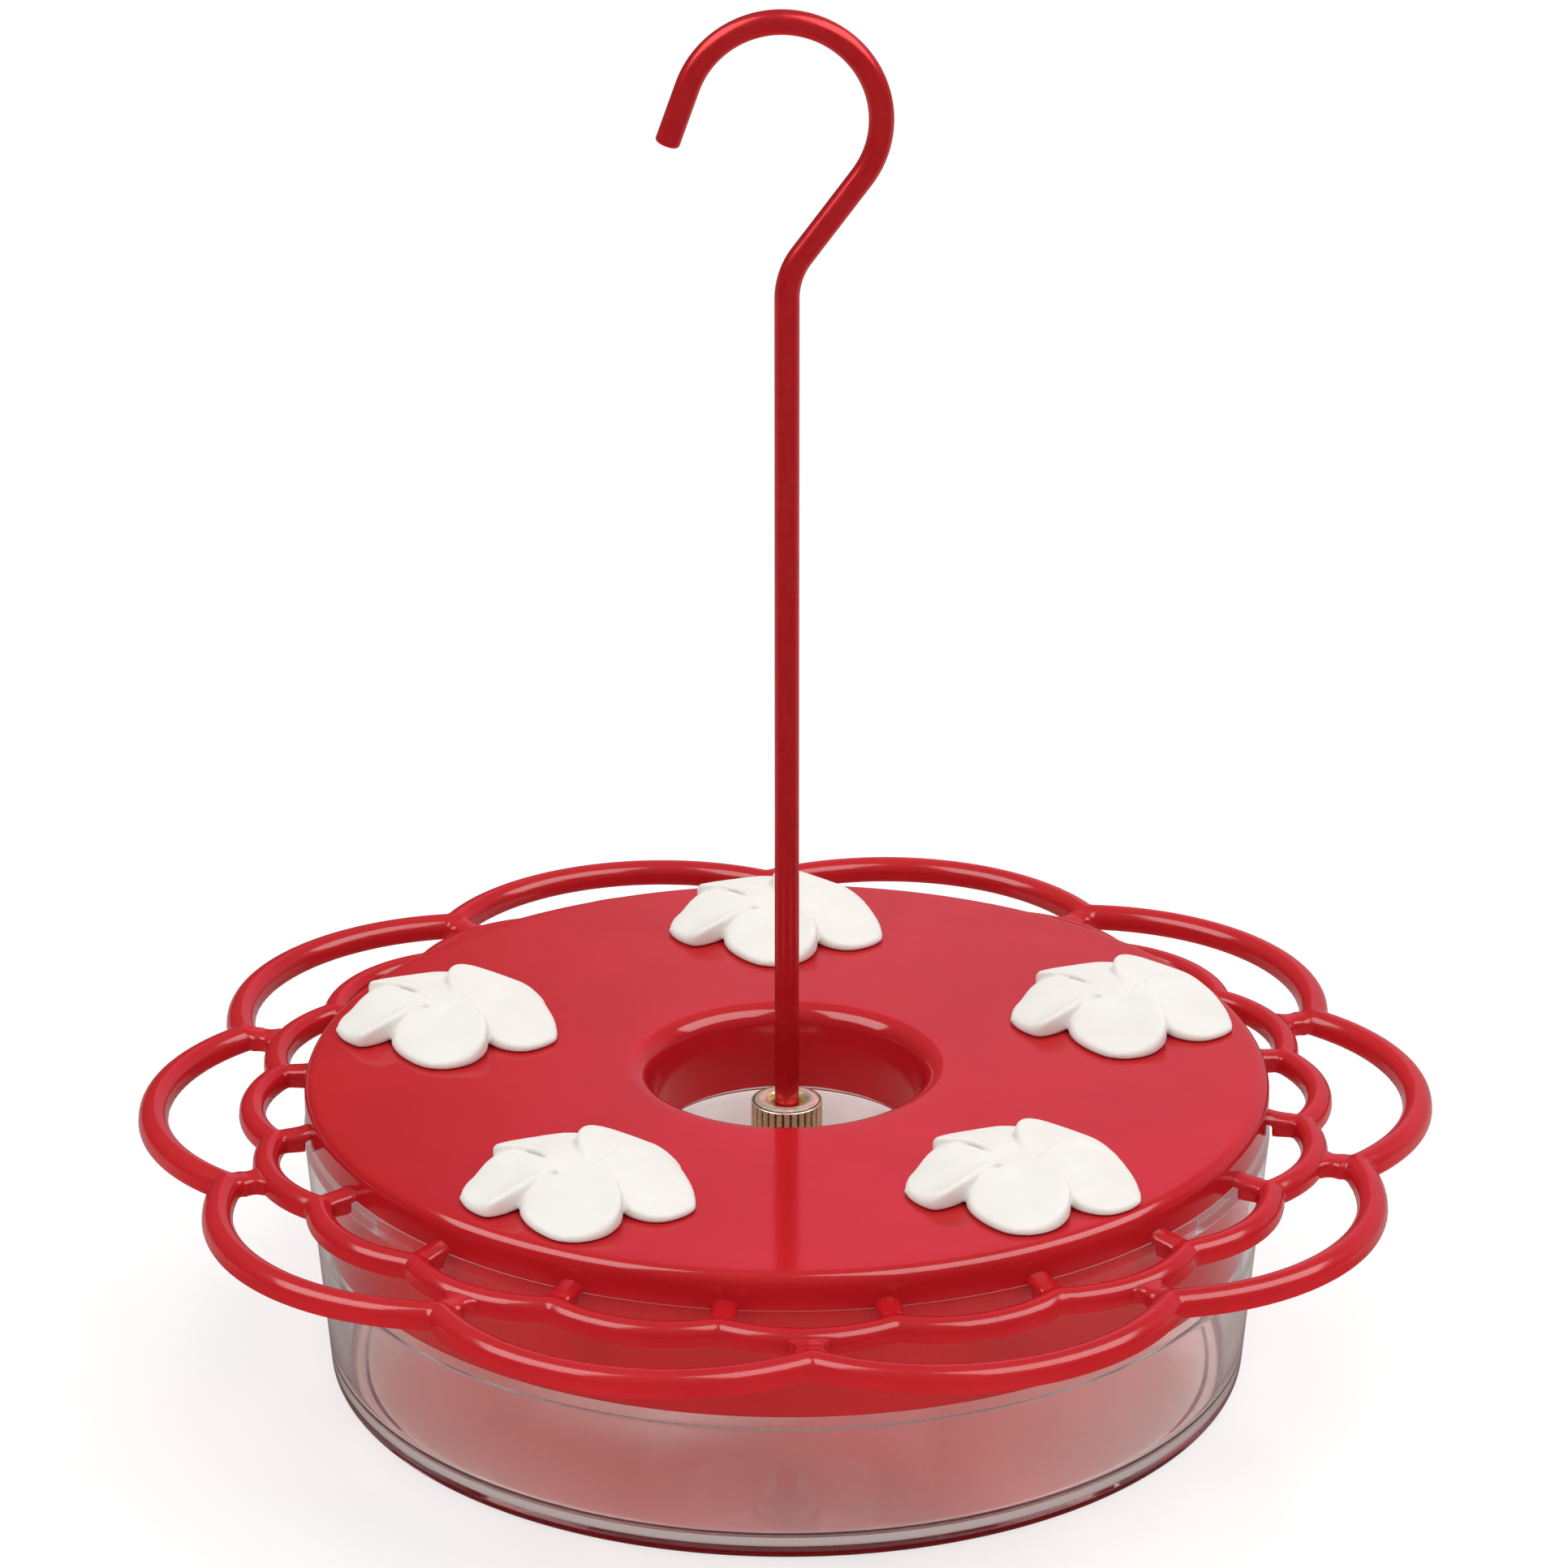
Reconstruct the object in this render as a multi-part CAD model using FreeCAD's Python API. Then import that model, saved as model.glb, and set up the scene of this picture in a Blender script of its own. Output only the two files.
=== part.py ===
import FreeCAD, Part
import math
import os
from FreeCAD import Vector, Placement, Rotation

# Hanging saucer feeder for hummingbirds.
# Frame: origin at the centre of the bowl's underside, +Z up, hook in the XZ plane with its mouth towards -X.
# All values in millimetres and degrees.

# ---------------------------------------------------------------- driving dimensions
BOWL_R_BASE = 90.9        # outer radius of the clear bowl at the table
BOWL_R_RIM = 95.45        # outer radius of the wall's draft line at rim height
RIM_TAPER_Z = 49.5        # above this the wall runs in to the cover's own radius
RIM_TOP_R = 94.7
BOWL_H = 53.3             # rim height
BOWL_WALL_UP = 1.9        # wall thickness above the ledge
BOWL_WALL_LOW = 3.2       # wall thickness below the ledge
LEDGE_Z = 27.5            # height of the inner ledge
FLOOR_TOP = 3.0           # inside of the floor
FOOT_RECESS = 0.8         # hollow under the floor, inside the foot ring
FOOT_R_IN = 84.0
BASE_ROUND = 1.5
TOWER_R_BASE = 31.5       # centre tower of the bowl, outside
TOWER_R_TOP = 28.5
TOWER_Z = 44.0            # flat top of the tower, the floor of the centre well
TOWER_TOP_T = 2.0
TOWER_WALL = 1.5
ROD_HOLE_R = 2.6

COVER_R = 94.8            # outer radius of the red cover
COVER_TOP = 60.5          # flat top
COVER_T = 2.2             # plate thickness
SHOULDER_R = 2.5
SKIRT_Z = 30.0            # lower edge of the inner skirt
SKIRT_R_TOP = 93.3
SKIRT_R_LOW = 91.0
SKIRT_T = 1.9
WELL_R_TOP = 27.6         # bore of the centre collar below its rolled lip
WELL_R_LOW = 25.4
WELL_LIP = 4.0
WELL_Z = 44.1
WELL_T = 2.0

PERCH_TOP = 54.9          # scalloped perch ring
PERCH_BOTTOM = 50.3
PERCH_COUNT = 10
PERCH_PHASE = -87.85      # direction of one junction of the outer loops
LOOP_APEX_R = 124.6       # centre line of an outer loop at its furthest point
LOOP_JOIN_R = 114.0       # centre line where two outer loops meet
LOOP_BAR = 5.8            # bar width of the outer loops
SCALLOP_APEX_R = 105.2    # centre line of an inner scallop at its furthest point
SCALLOP_JOIN_R = 101.5    # centre line where two inner scallops meet
SCALLOP_BAR = 5.2
NUB_W = 3.6               # short bridges to the cover
NUB_TOP = 55.5
WEB_W = 5.2               # web between a loop junction and a scallop
PERCH_ROUND = 1.7
CORNER_ROUND = 1.0

PORT_COUNT = 5
PORT_RING_R = 70.75
PORT_PHASE = 20.15
PORT_HOLE_R = 5.0
PORT_STEM_R = 4.96
PORT_BEAD_R = 5.5
PORT_FEED_R = 1.3
PETAL_PHASE = -90.0
PETAL_R = 9.0
PETAL_OUT = 13.4
PETAL_T = 2.6
PETAL_TILT = 14.0
FLOWER_HUB_R = 8.6

ROD_R = 2.38              # 3/16 in steel rod
ROD_END_Z = 33.5
HOOK_CX, HOOK_CZ, HOOK_R = -1.0, 251.4, 18.5
HOOK_TIP_A = 160.3        # where the arc runs out into the straight tip
HOOK_TIP_L = 11.6
NECK_A = -36.5            # where the arc runs out into the slanting neck
NECK_BEND_R = 14.0
HOOK_EDGE = 0.7

NUT_R = 7.0               # knurled brass thumb nut
NUT_H = 9.1
NUT_BORE_R = 2.43
NUT_FLUTES = 28
NUT_FLUTE_R = 0.36
NUT_CHAMFER = 1.0
NUT_SINK_R = 3.5
WASHER_R, WASHER_T, WASHER_BORE = 6.2, 1.2, 2.6
LOCK_AF, LOCK_H, LOCK_BORE = 8.0, 4.0, 2.4


def vec(r, z):
    return Vector(r, 0, z)


def revolve(edges):
    wire = Part.Wire(edges)
    face = Part.Face(wire)
    solid = face.revolve(Vector(0, 0, 0), Vector(0, 0, 1), 360)
    if solid.ShapeType != "Solid":
        solid = solid.Solids[0]
    return solid


class Outline:
    """Closed outline in the RZ half plane: straight runs with rounded corners."""

    def __init__(self):
        self.pts = []

    def add(self, r, z, rad=0.0):
        self.pts.append((r, z, rad))
        return self

    def edges(self):
        n = len(self.pts)
        cut = []
        for i, (r, z, rad) in enumerate(self.pts):
            p = Vector(r, 0, z)
            a = Vector(self.pts[i - 1][0], 0, self.pts[i - 1][1])
            b = Vector(self.pts[(i + 1) % n][0], 0, self.pts[(i + 1) % n][1])
            if rad <= 0:
                cut.append((p, None, p))
                continue
            u = a.sub(p).normalize()
            v = b.sub(p).normalize()
            half = u.getAngle(v) / 2
            t = rad / math.tan(half)
            m = u.add(v).normalize()
            mid = p.add(m * (rad / math.sin(half) - rad))
            cut.append((p.add(u * t), mid, p.add(v * t)))
        out = []
        for i in range(n):
            s, m, e = cut[i]
            if m is not None:
                out.append(Part.Arc(s, m, e).toShape())
            nxt = cut[(i + 1) % n][0]
            if e.distanceToPoint(nxt) > 1e-6:
                out.append(Part.LineSegment(e, nxt).toShape())
        return out


def bowl_outer(z):
    return BOWL_R_BASE + (BOWL_R_RIM - BOWL_R_BASE) * z / BOWL_H


def make_bowl():
    # one clear moulding: foot, drafted wall with an inner ledge, floor and hollow centre tower
    o = Outline()
    o.add(bowl_outer(0), 0, BASE_ROUND)
    o.add(bowl_outer(RIM_TAPER_Z), RIM_TAPER_Z, 2.0)
    o.add(RIM_TOP_R, BOWL_H, 0.12)
    o.add(BOWL_R_RIM - BOWL_WALL_UP, BOWL_H, 0.3)
    o.add(bowl_outer(LEDGE_Z) - BOWL_WALL_UP, LEDGE_Z, 0.5)
    o.add(bowl_outer(LEDGE_Z) - BOWL_WALL_LOW, LEDGE_Z, 0.4)
    o.add(bowl_outer(FLOOR_TOP) - BOWL_WALL_LOW, FLOOR_TOP, 3.0)
    o.add(TOWER_R_BASE, FLOOR_TOP, 2.0)
    o.add(TOWER_R_TOP, TOWER_Z, 0.6)
    o.add(ROD_HOLE_R, TOWER_Z)
    o.add(ROD_HOLE_R, TOWER_Z - TOWER_TOP_T)
    o.add(TOWER_R_TOP - TOWER_WALL, TOWER_Z - TOWER_TOP_T, 0.5)
    o.add(TOWER_R_BASE - TOWER_WALL, FOOT_RECESS, 0.8)
    o.add(FOOT_R_IN, FOOT_RECESS, 0.3)
    o.add(FOOT_R_IN + 0.8, 0, 0.3)
    return revolve(o.edges())


def make_cover_shell():
    # one red moulding seen in section: top plate, shoulder, seat on the rim, deep inner skirt, rolled collar
    under = COVER_TOP - COVER_T
    o = Outline()
    o.add(SKIRT_R_LOW, SKIRT_Z, 0.5)
    o.add(SKIRT_R_TOP, BOWL_H)
    o.add(COVER_R, BOWL_H, 0.4)
    o.add(COVER_R, COVER_TOP, SHOULDER_R)
    o.add(WELL_R_TOP, COVER_TOP, WELL_LIP)
    o.add(WELL_R_LOW, WELL_Z, 0.4)
    o.add(WELL_R_LOW + WELL_T, WELL_Z, 0.4)
    o.add(WELL_R_TOP + WELL_T, under, 4.0)
    o.add(SKIRT_R_TOP - SKIRT_T, under, 1.5)
    o.add(SKIRT_R_LOW - SKIRT_T, SKIRT_Z, 0.5)
    return revolve(o.edges())


def sector(a0, a1, r1, z0, h):
    # pie slice from a0 to a1 degrees
    p0 = Vector(0, 0, z0)
    pa = Vector(r1 * math.cos(math.radians(a0)), r1 * math.sin(math.radians(a0)), z0)
    pb = Vector(r1 * math.cos(math.radians(a1)), r1 * math.sin(math.radians(a1)), z0)
    face = Part.Face(Part.makePolygon([p0, pa, pb, p0]))
    return face.extrude(Vector(0, 0, h))


def arc_radius(apex, join, half_deg):
    c = join * math.sin(math.radians(half_deg))
    s = apex - join * math.cos(math.radians(half_deg))
    return (c * c + s * s) / (2 * s)


def band(centre_r, centre_a, rad, width, z0, h):
    c = Vector(centre_r * math.cos(math.radians(centre_a)), centre_r * math.sin(math.radians(centre_a)), z0)
    outer = Part.makeCylinder(rad + width / 2, h, c)
    inner = Part.makeCylinder(rad - width / 2, h + 2, Vector(c.x, c.y, z0 - 1))
    return outer.cut(inner)


def make_perch_sector():
    # one tenth of the perch, around a junction at angle 0, cut at the middles of the loops
    z0, h = PERCH_BOTTOM, PERCH_TOP - PERCH_BOTTOM
    half = 180.0 / PERCH_COUNT
    quarter = half / 2
    ro = arc_radius(LOOP_APEX_R, LOOP_JOIN_R, half)
    ri = arc_radius(SCALLOP_APEX_R, SCALLOP_JOIN_R, quarter)
    parts = []
    for s in (1, -1):
        lo, hi = (0, half) if s > 0 else (-half, 0)
        parts.append(band(LOOP_APEX_R - ro, s * half, ro, LOOP_BAR, z0, h).common(sector(lo, hi, 160, z0 - 1, h + 2)))
        lo, hi = (quarter, half) if s > 0 else (-half, -quarter)
        parts.append(band(SCALLOP_APEX_R - ri, s * half, ri, SCALLOP_BAR, z0, h).common(sector(lo, hi, 160, z0 - 1, h + 2)))
        nub = Part.makeBox(4.0, NUB_W, h, Vector(96.4, -NUB_W / 2, z0))
        nub.rotate(Vector(0, 0, 0), Vector(0, 0, 1), s * quarter)
        parts.append(nub)
    parts.append(band(SCALLOP_APEX_R - ri, 0, ri, SCALLOP_BAR, z0, h).common(sector(-quarter, quarter, 160, z0 - 1, h + 2)))
    web = Part.makeBox(7.0, WEB_W, h, Vector(SCALLOP_APEX_R, -WEB_W / 2, z0))
    parts.append(web)
    body = parts[0].fuse(parts[1:]).removeSplitter()
    body = body.Solids[0]

    def on_cut(pt):
        a = math.degrees(math.atan2(pt.y, pt.x))
        return abs(abs(a) - half) < 0.02

    corners = []
    for e in body.Edges:
        if len(e.Vertexes) != 2:
            continue
        a, b = e.Vertexes[0].Point, e.Vertexes[1].Point
        if abs(a.x - b.x) < 1e-4 and abs(a.y - b.y) < 1e-4 and not on_cut(a):
            r = math.hypot(a.x, a.y)
            if r > 96.8:
                corners.append(e)
    body = body.makeFillet(CORNER_ROUND, corners)
    rims = []
    for e in body.Edges:
        zs = [v.Point.z for v in e.Vertexes]
        mid = e.valueAt((e.FirstParameter + e.LastParameter) / 2)
        flat = max(zs) - min(zs) < 1e-6 and abs(mid.z - zs[0]) < 1e-6
        if not flat or on_cut(mid):
            continue
        ends_in = all(math.hypot(v.Point.x, v.Point.y) < 96.45 for v in e.Vertexes)
        if ends_in:
            continue
        rims.append(e)
    body = body.makeFillet(PERCH_ROUND, rims)
    return body


def make_perch():
    one = make_perch_sector()
    step = 360.0 / PERCH_COUNT
    copies = []
    for k in range(PERCH_COUNT):
        c = one.copy()
        c.rotate(Vector(0, 0, 0), Vector(0, 0, 1), PERCH_PHASE + k * step)
        copies.append(c)
    ring = copies[0].fuse(copies[1:]).removeSplitter()
    return ring.Solids[0]


def make_cover():
    shell = make_cover_shell()
    perch = make_perch()
    bits = [perch]
    step = 360.0 / PERCH_COUNT
    for k in range(PERCH_COUNT):
        for s in (1, -1):
            # bridge over the rim of the bowl
            b = Part.makeBox(6.0, NUB_W, NUB_TOP - BOWL_H - 0.15, Vector(92.6, -NUB_W / 2, BOWL_H + 0.15))
            b.rotate(Vector(0, 0, 0), Vector(0, 0, 1), PERCH_PHASE + k * step + s * step / 4)
            bits.append(b)
    body = shell.fuse(bits).removeSplitter()
    holes = []
    for k in range(PORT_COUNT):
        a = math.radians(PORT_PHASE + k * 360.0 / PORT_COUNT)
        holes.append(Part.makeCylinder(PORT_HOLE_R, 8, Vector(PORT_RING_R * math.cos(a), PORT_RING_R * math.sin(a), COVER_TOP - 5)))
    body = body.cut(holes)
    return body.Solids[0]


def make_flower(index):
    # white port: five thick petals overlapping like a pinwheel, stem with a snap bead, feeding hole
    z = COVER_TOP
    hub = Part.makeCone(FLOWER_HUB_R, 4.2, 5.6, Vector(0, 0, z))
    shapes = []
    for k in range(5):
        p = Part.makeCylinder(PETAL_R, PETAL_T)
        p = p.makeFillet(1.1, p.Edges)
        p.translate(Vector(0, 0, -PETAL_T / 2))
        # one side of each petal is lifted over its neighbour
        p.rotate(Vector(0, 0, 0), Vector(1, 0, 0), PETAL_TILT)
        p.rotate(Vector(0, 0, 0), Vector(0, 1, 0), 6.0)
        low = -p.BoundBox.ZMin
        p.translate(Vector(PETAL_OUT, 0, z + 0.15 + low))
        p.rotate(Vector(0, 0, 0), Vector(0, 0, 1), PETAL_PHASE - PORT_PHASE - index * 72.0 + k * 72.0)
        shapes.append(p)
    body = hub.fuse(shapes)
    stem = Part.makeCylinder(PORT_STEM_R, COVER_T + 0.1, Vector(0, 0, z - COVER_T - 0.1))
    under = z - COVER_T - 0.1
    bead = Part.makeCone(PORT_STEM_R - 0.9, PORT_BEAD_R, 2.2, Vector(0, 0, under - 2.2))
    tube = Part.makeCylinder(PORT_STEM_R - 0.9, 3.4, Vector(0, 0, under - 5.6))
    body = body.fuse([stem, bead, tube])
    bore = Part.makeCylinder(PORT_FEED_R, 30, Vector(0, 0, under - 8))
    well = Part.makeCylinder(PORT_STEM_R - 2.0, COVER_T + 4.5, Vector(0, 0, under - 6))
    body = body.cut([bore, well]).removeSplitter()
    body = body.Solids[0]
    body.translate(Vector(PORT_RING_R, 0, 0))
    body.rotate(Vector(0, 0, 0), Vector(0, 0, 1), PORT_PHASE + index * 72.0)
    return body


def make_rod():
    # hook, slanting neck and straight stem from one bent rod
    a1 = math.radians(HOOK_TIP_A)
    a2 = math.radians(NECK_A)
    c = Vector(HOOK_CX, 0, HOOK_CZ)
    on = lambda a: Vector(c.x + HOOK_R * math.cos(a), 0, c.z + HOOK_R * math.sin(a))
    p1, p2 = on(a1), on(a2)
    pm = on((a1 + a2) / 2)
    tip_dir = Vector(-math.sin(a1), 0, math.cos(a1))
    tip = p1.add(tip_dir * HOOK_TIP_L)
    neck_dir = Vector(math.sin(a2), 0, -math.cos(a2))
    # the neck meets the axis x = 0
    t_axis = -p2.x / neck_dir.x
    knee = p2.add(neck_dir * t_axis)
    turn = neck_dir.getAngle(Vector(0, 0, -1))
    cut = NECK_BEND_R * math.tan(turn / 2)
    s = knee.sub(neck_dir * cut)
    e = knee.add(Vector(0, 0, -cut))
    bis = s.sub(knee).normalize().add(e.sub(knee).normalize()).normalize()
    m = knee.add(bis * (NECK_BEND_R / math.cos(turn / 2) - NECK_BEND_R))
    end = Vector(0, 0, ROD_END_Z)
    path = Part.Wire([
        Part.LineSegment(end, e).toShape(),
        Part.Arc(e, m, s).toShape(),
        Part.LineSegment(s, p2).toShape(),
        Part.Arc(p2, pm, p1).toShape(),
        Part.LineSegment(p1, tip).toShape(),
    ])
    prof = Part.Wire([Part.Circle(end, Vector(0, 0, 1), ROD_R).toShape()])
    rod = path.makePipeShell([prof], True, False, 2)
    if rod.ShapeType != "Solid":
        rod = rod.Solids[0]
    print("rod length", round(path.Length, 2), "volume / (section x length)", round(rod.Volume / (math.pi * ROD_R ** 2 * path.Length), 5))
    ends = []
    for ed in rod.Edges:
        if isinstance(ed.Curve, Part.Circle) and abs(ed.Curve.Radius - ROD_R) < 1e-4:
            ctr = ed.Curve.Center
            if ctr.distanceToPoint(tip) < 1e-3 or ctr.distanceToPoint(end) < 1e-3:
                ends.append(ed)
    rod = rod.makeFillet(HOOK_EDGE, ends)
    return rod.Solids[0]


def make_thumb_nut():
    z0 = TOWER_Z
    body = Part.makeCylinder(NUT_R, NUT_H, Vector(0, 0, z0))
    top = [e for e in body.Edges if isinstance(e.Curve, Part.Circle) and e.Curve.Center.z > z0 + NUT_H - 0.01]
    body = body.makeChamfer(NUT_CHAMFER, top)
    low = [e for e in body.Edges if isinstance(e.Curve, Part.Circle) and e.Curve.Center.z < z0 + 0.01]
    body = body.makeChamfer(0.5, low)
    cuts = []
    for k in range(NUT_FLUTES):
        a = math.radians(k * 360.0 / NUT_FLUTES)
        cuts.append(Part.makeCylinder(NUT_FLUTE_R, NUT_H - 1.6, Vector((NUT_R + 0.06) * math.cos(a), (NUT_R + 0.06) * math.sin(a), z0 - 1)))
    bore = Part.makeCylinder(NUT_BORE_R, NUT_H + 4, Vector(0, 0, z0 - 2))
    sink = Part.makeCone(NUT_BORE_R, NUT_SINK_R, 1.2, Vector(0, 0, z0 + NUT_H - 1.2))
    body = body.cut(cuts + [bore, sink])
    return body.Solids[0]


def make_lower_washer():
    z1 = TOWER_Z - TOWER_TOP_T
    w = Part.makeCylinder(WASHER_R, WASHER_T, Vector(0, 0, z1 - WASHER_T))
    w = w.cut(Part.makeCylinder(WASHER_BORE, 6, Vector(0, 0, z1 - 4)))
    return w.Solids[0]


def make_lock_nut():
    z1 = TOWER_Z - TOWER_TOP_T - WASHER_T
    rc = LOCK_AF / 2 / math.cos(math.pi / 6)
    pts = [Vector(rc * math.cos(math.radians(60 * k)), rc * math.sin(math.radians(60 * k)), z1 - LOCK_H) for k in range(7)]
    pts[6] = pts[0]
    nut = Part.Face(Part.makePolygon(pts)).extrude(Vector(0, 0, LOCK_H))
    cap = Part.makeCone(LOCK_AF / 2 + 0.25, LOCK_AF / 2 + 0.25 + LOCK_H * 1.9, LOCK_H, Vector(0, 0, z1 - LOCK_H))
    nut = nut.common(cap)
    nut = nut.cut(Part.makeCylinder(LOCK_BORE, LOCK_H + 4, Vector(0, 0, z1 - LOCK_H - 2)))
    return nut.Solids[0]


def main():
    os.makedirs("parts", exist_ok=True)
    nodes = {
        "bowl": make_bowl(),
        "cover": make_cover(),
        "hanging_rod": make_rod(),
        "thumb_nut": make_thumb_nut(),
        "lower_washer": make_lower_washer(),
        "lock_nut": make_lock_nut(),
    }
    for i in range(PORT_COUNT):
        nodes["flower_port_%d" % (i + 1)] = make_flower(i)
    for name, shape in nodes.items():
        if not shape.isValid():
            print("WARNING not valid:", name)
        shape.exportStep("parts/%s.step" % name)
        b = shape.BoundBox
        print("%-15s vol %.1f  x %.2f..%.2f  y %.2f..%.2f  z %.2f..%.2f  solids %d" % (
            name, shape.Volume, b.XMin, b.XMax, b.YMin, b.YMax, b.ZMin, b.ZMax, len(shape.Solids)))


main()
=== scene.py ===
import math
import bpy
import bmesh
import numpy as np
from mathutils import Vector, Matrix


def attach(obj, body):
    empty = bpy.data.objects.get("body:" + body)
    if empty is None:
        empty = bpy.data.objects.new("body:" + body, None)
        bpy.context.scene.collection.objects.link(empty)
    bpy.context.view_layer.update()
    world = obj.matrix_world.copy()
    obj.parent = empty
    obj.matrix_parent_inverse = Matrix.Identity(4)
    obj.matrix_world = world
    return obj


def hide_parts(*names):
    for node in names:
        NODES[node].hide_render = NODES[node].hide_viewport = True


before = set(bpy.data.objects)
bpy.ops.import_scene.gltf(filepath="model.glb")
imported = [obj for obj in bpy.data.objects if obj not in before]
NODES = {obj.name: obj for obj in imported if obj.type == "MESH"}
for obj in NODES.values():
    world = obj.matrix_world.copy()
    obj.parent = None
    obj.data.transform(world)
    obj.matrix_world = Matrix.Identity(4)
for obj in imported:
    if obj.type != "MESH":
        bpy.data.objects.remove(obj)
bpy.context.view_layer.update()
scene = bpy.context.scene
MM = 0.001

# ------------------------------------------------------------------ dimensions, the same as the model's (mm)
BOWL_R_BASE, BOWL_R_RIM, BOWL_H, BASE_ROUND = 90.9, 95.45, 53.3, 1.5
RIM_TAPER_Z, RIM_TOP_R = 49.5, 94.7
WALL_UP, WALL_LOW, LEDGE_Z, FLOOR_TOP, FOOT_RECESS, FOOT_R_IN = 1.9, 3.2, 27.5, 3.0, 0.8, 84.0
TOWER_R_BASE, TOWER_R_TOP, TOWER_Z, TOWER_TOP_T, TOWER_WALL, ROD_HOLE_R = 31.5, 28.5, 44.0, 2.0, 1.5, 2.6
COVER_R, COVER_TOP, COVER_T, SHOULDER_R = 94.8, 60.5, 2.2, 2.5
SKIRT_Z, SKIRT_R_TOP, SKIRT_R_LOW, SKIRT_T = 30.0, 93.3, 91.0, 1.9
WELL_R_TOP, WELL_R_LOW, WELL_LIP, WELL_Z, WELL_T = 27.6, 25.4, 4.0, 44.1, 2.0
PERCH_TOP, PERCH_BOTTOM, PERCH_COUNT, PERCH_PHASE, NUB_TOP = 54.9, 50.3, 10, -87.85, 55.5
LOOP_APEX_R, LOOP_JOIN_R, LOOP_BAR = 124.6, 114.0, 5.8
SCALLOP_APEX_R, SCALLOP_JOIN_R, SCALLOP_BAR, NUB_W, WEB_W = 105.2, 101.5, 5.2, 3.6, 5.2
PORT_COUNT, PORT_RING_R, PORT_PHASE = 5, 70.75, 20.15
PORT_HOLE_R, PORT_STEM_R, PORT_BEAD_R, PORT_FEED_R = 5.0, 4.96, 5.5, 1.3
ROD_R, ROD_END_Z = 2.38, 33.5
HOOK_CX, HOOK_CZ, HOOK_R, HOOK_TIP_A, HOOK_TIP_L = -1.0, 251.4, 18.5, 160.3, 11.6
NECK_A, NECK_BEND_R, HOOK_EDGE = -36.5, 14.0, 0.7
NUT_R, NUT_H, NUT_BORE_R, NUT_FLUTES, NUT_FLUTE_R, NUT_CHAMFER, NUT_SINK_R = 7.0, 9.1, 2.43, 28, 0.36, 1.0, 3.5


def bowl_outer(z):
    return BOWL_R_BASE + (BOWL_R_RIM - BOWL_R_BASE) * z / BOWL_H


# ------------------------------------------------------------------ mesh helpers
def new_object(name, verts, faces, smooth=True, scale=MM):
    me = bpy.data.meshes.new(name)
    me.from_pydata([tuple(c * scale for c in v) for v in verts], [], [tuple(f) for f in faces])
    me.validate()
    bm = bmesh.new()
    bm.from_mesh(me)
    bmesh.ops.recalc_face_normals(bm, faces=bm.faces)
    bm.to_mesh(me)
    bm.free()
    if smooth:
        me.polygons.foreach_set("use_smooth", [True] * len(me.polygons))
    ob = bpy.data.objects.new(name, me)
    scene.collection.objects.link(ob)
    return ob


def rounded(points, step=0.35):
    """Closed outline from (r, z, corner radius) points, with corners sampled finely and long runs divided."""
    n = len(points)
    out = []
    corners = []
    for i in range(n):
        x, z, rad = points[i]
        p = np.array([x, z], float)
        a = np.array(points[i - 1][:2], float)
        b = np.array(points[(i + 1) % n][:2], float)
        if rad <= 0:
            corners.append([p])
            continue
        u = (a - p) / np.linalg.norm(a - p)
        v = (b - p) / np.linalg.norm(b - p)
        half = math.acos(max(-1, min(1, float(u @ v)))) / 2
        t = rad / math.tan(half)
        m = (u + v) / np.linalg.norm(u + v)
        c = p + m * rad / math.sin(half)
        s, e = p + u * t, p + v * t
        a0 = math.atan2(s[1] - c[1], s[0] - c[0])
        a1 = math.atan2(e[1] - c[1], e[0] - c[0])
        d = (a1 - a0 + math.pi) % (2 * math.pi) - math.pi
        k = max(4, int(abs(d) * rad / step) + 1, int(abs(d) / 0.2))
        corners.append([c + rad * np.array([math.cos(a0 + d * j / k), math.sin(a0 + d * j / k)]) for j in range(k + 1)])
    for i in range(n):
        out.extend(corners[i])
        s, e = corners[i][-1], corners[(i + 1) % n][0]
        run = np.linalg.norm(e - s)
        k = int(run / 6.0)
        # short steps beside the corners keep their shading clean
        ts = [0.04, 0.96] if run > 2 else []
        if k > 1:
            ts = sorted(set(ts + [j / k for j in range(1, k)]))
        for t in ts:
            out.append(s + (e - s) * t)
    return out


def lathe(name, outline, segs=288):
    n = len(outline)
    cs = [(math.cos(2 * math.pi * j / segs), math.sin(2 * math.pi * j / segs)) for j in range(segs)]
    verts = [(p[0] * c, p[0] * s, p[1]) for c, s in cs for p in outline]
    faces = []
    for j in range(segs):
        k = (j + 1) % segs
        for i in range(n):
            i2 = (i + 1) % n
            faces.append((j * n + i, k * n + i, k * n + i2, j * n + i2))
    return new_object(name, verts, faces)


def sweep(path, section, closed=False):
    """Tube along a path in the XY plane direction sense: path is a list of points, section(k) gives (side, up) pairs."""
    n = len(path)
    verts, faces = [], []
    m = len(section(0))
    for i in range(n):
        p = Vector(path[i])
        a = Vector(path[max(0, i - 1)] if not closed else path[i - 1])
        b = Vector(path[min(n - 1, i + 1)] if not closed else path[(i + 1) % n])
        d = (b - a).normalized()
        side = Vector((d.y, -d.x, 0)).normalized()
        for s, u in section(i / max(1, n - 1)):
            verts.append(tuple(p + side * s + Vector((0, 0, 1)) * u))
    for i in range(n - 1 if not closed else n):
        k = (i + 1) % n
        for j in range(m):
            j2 = (j + 1) % m
            faces.append((i * m + j, k * m + j, k * m + j2, i * m + j2))
    if not closed:
        faces.append(tuple(range(m)))
        faces.append(tuple((n - 1) * m + j for j in reversed(range(m))))
    return verts, faces


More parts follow.
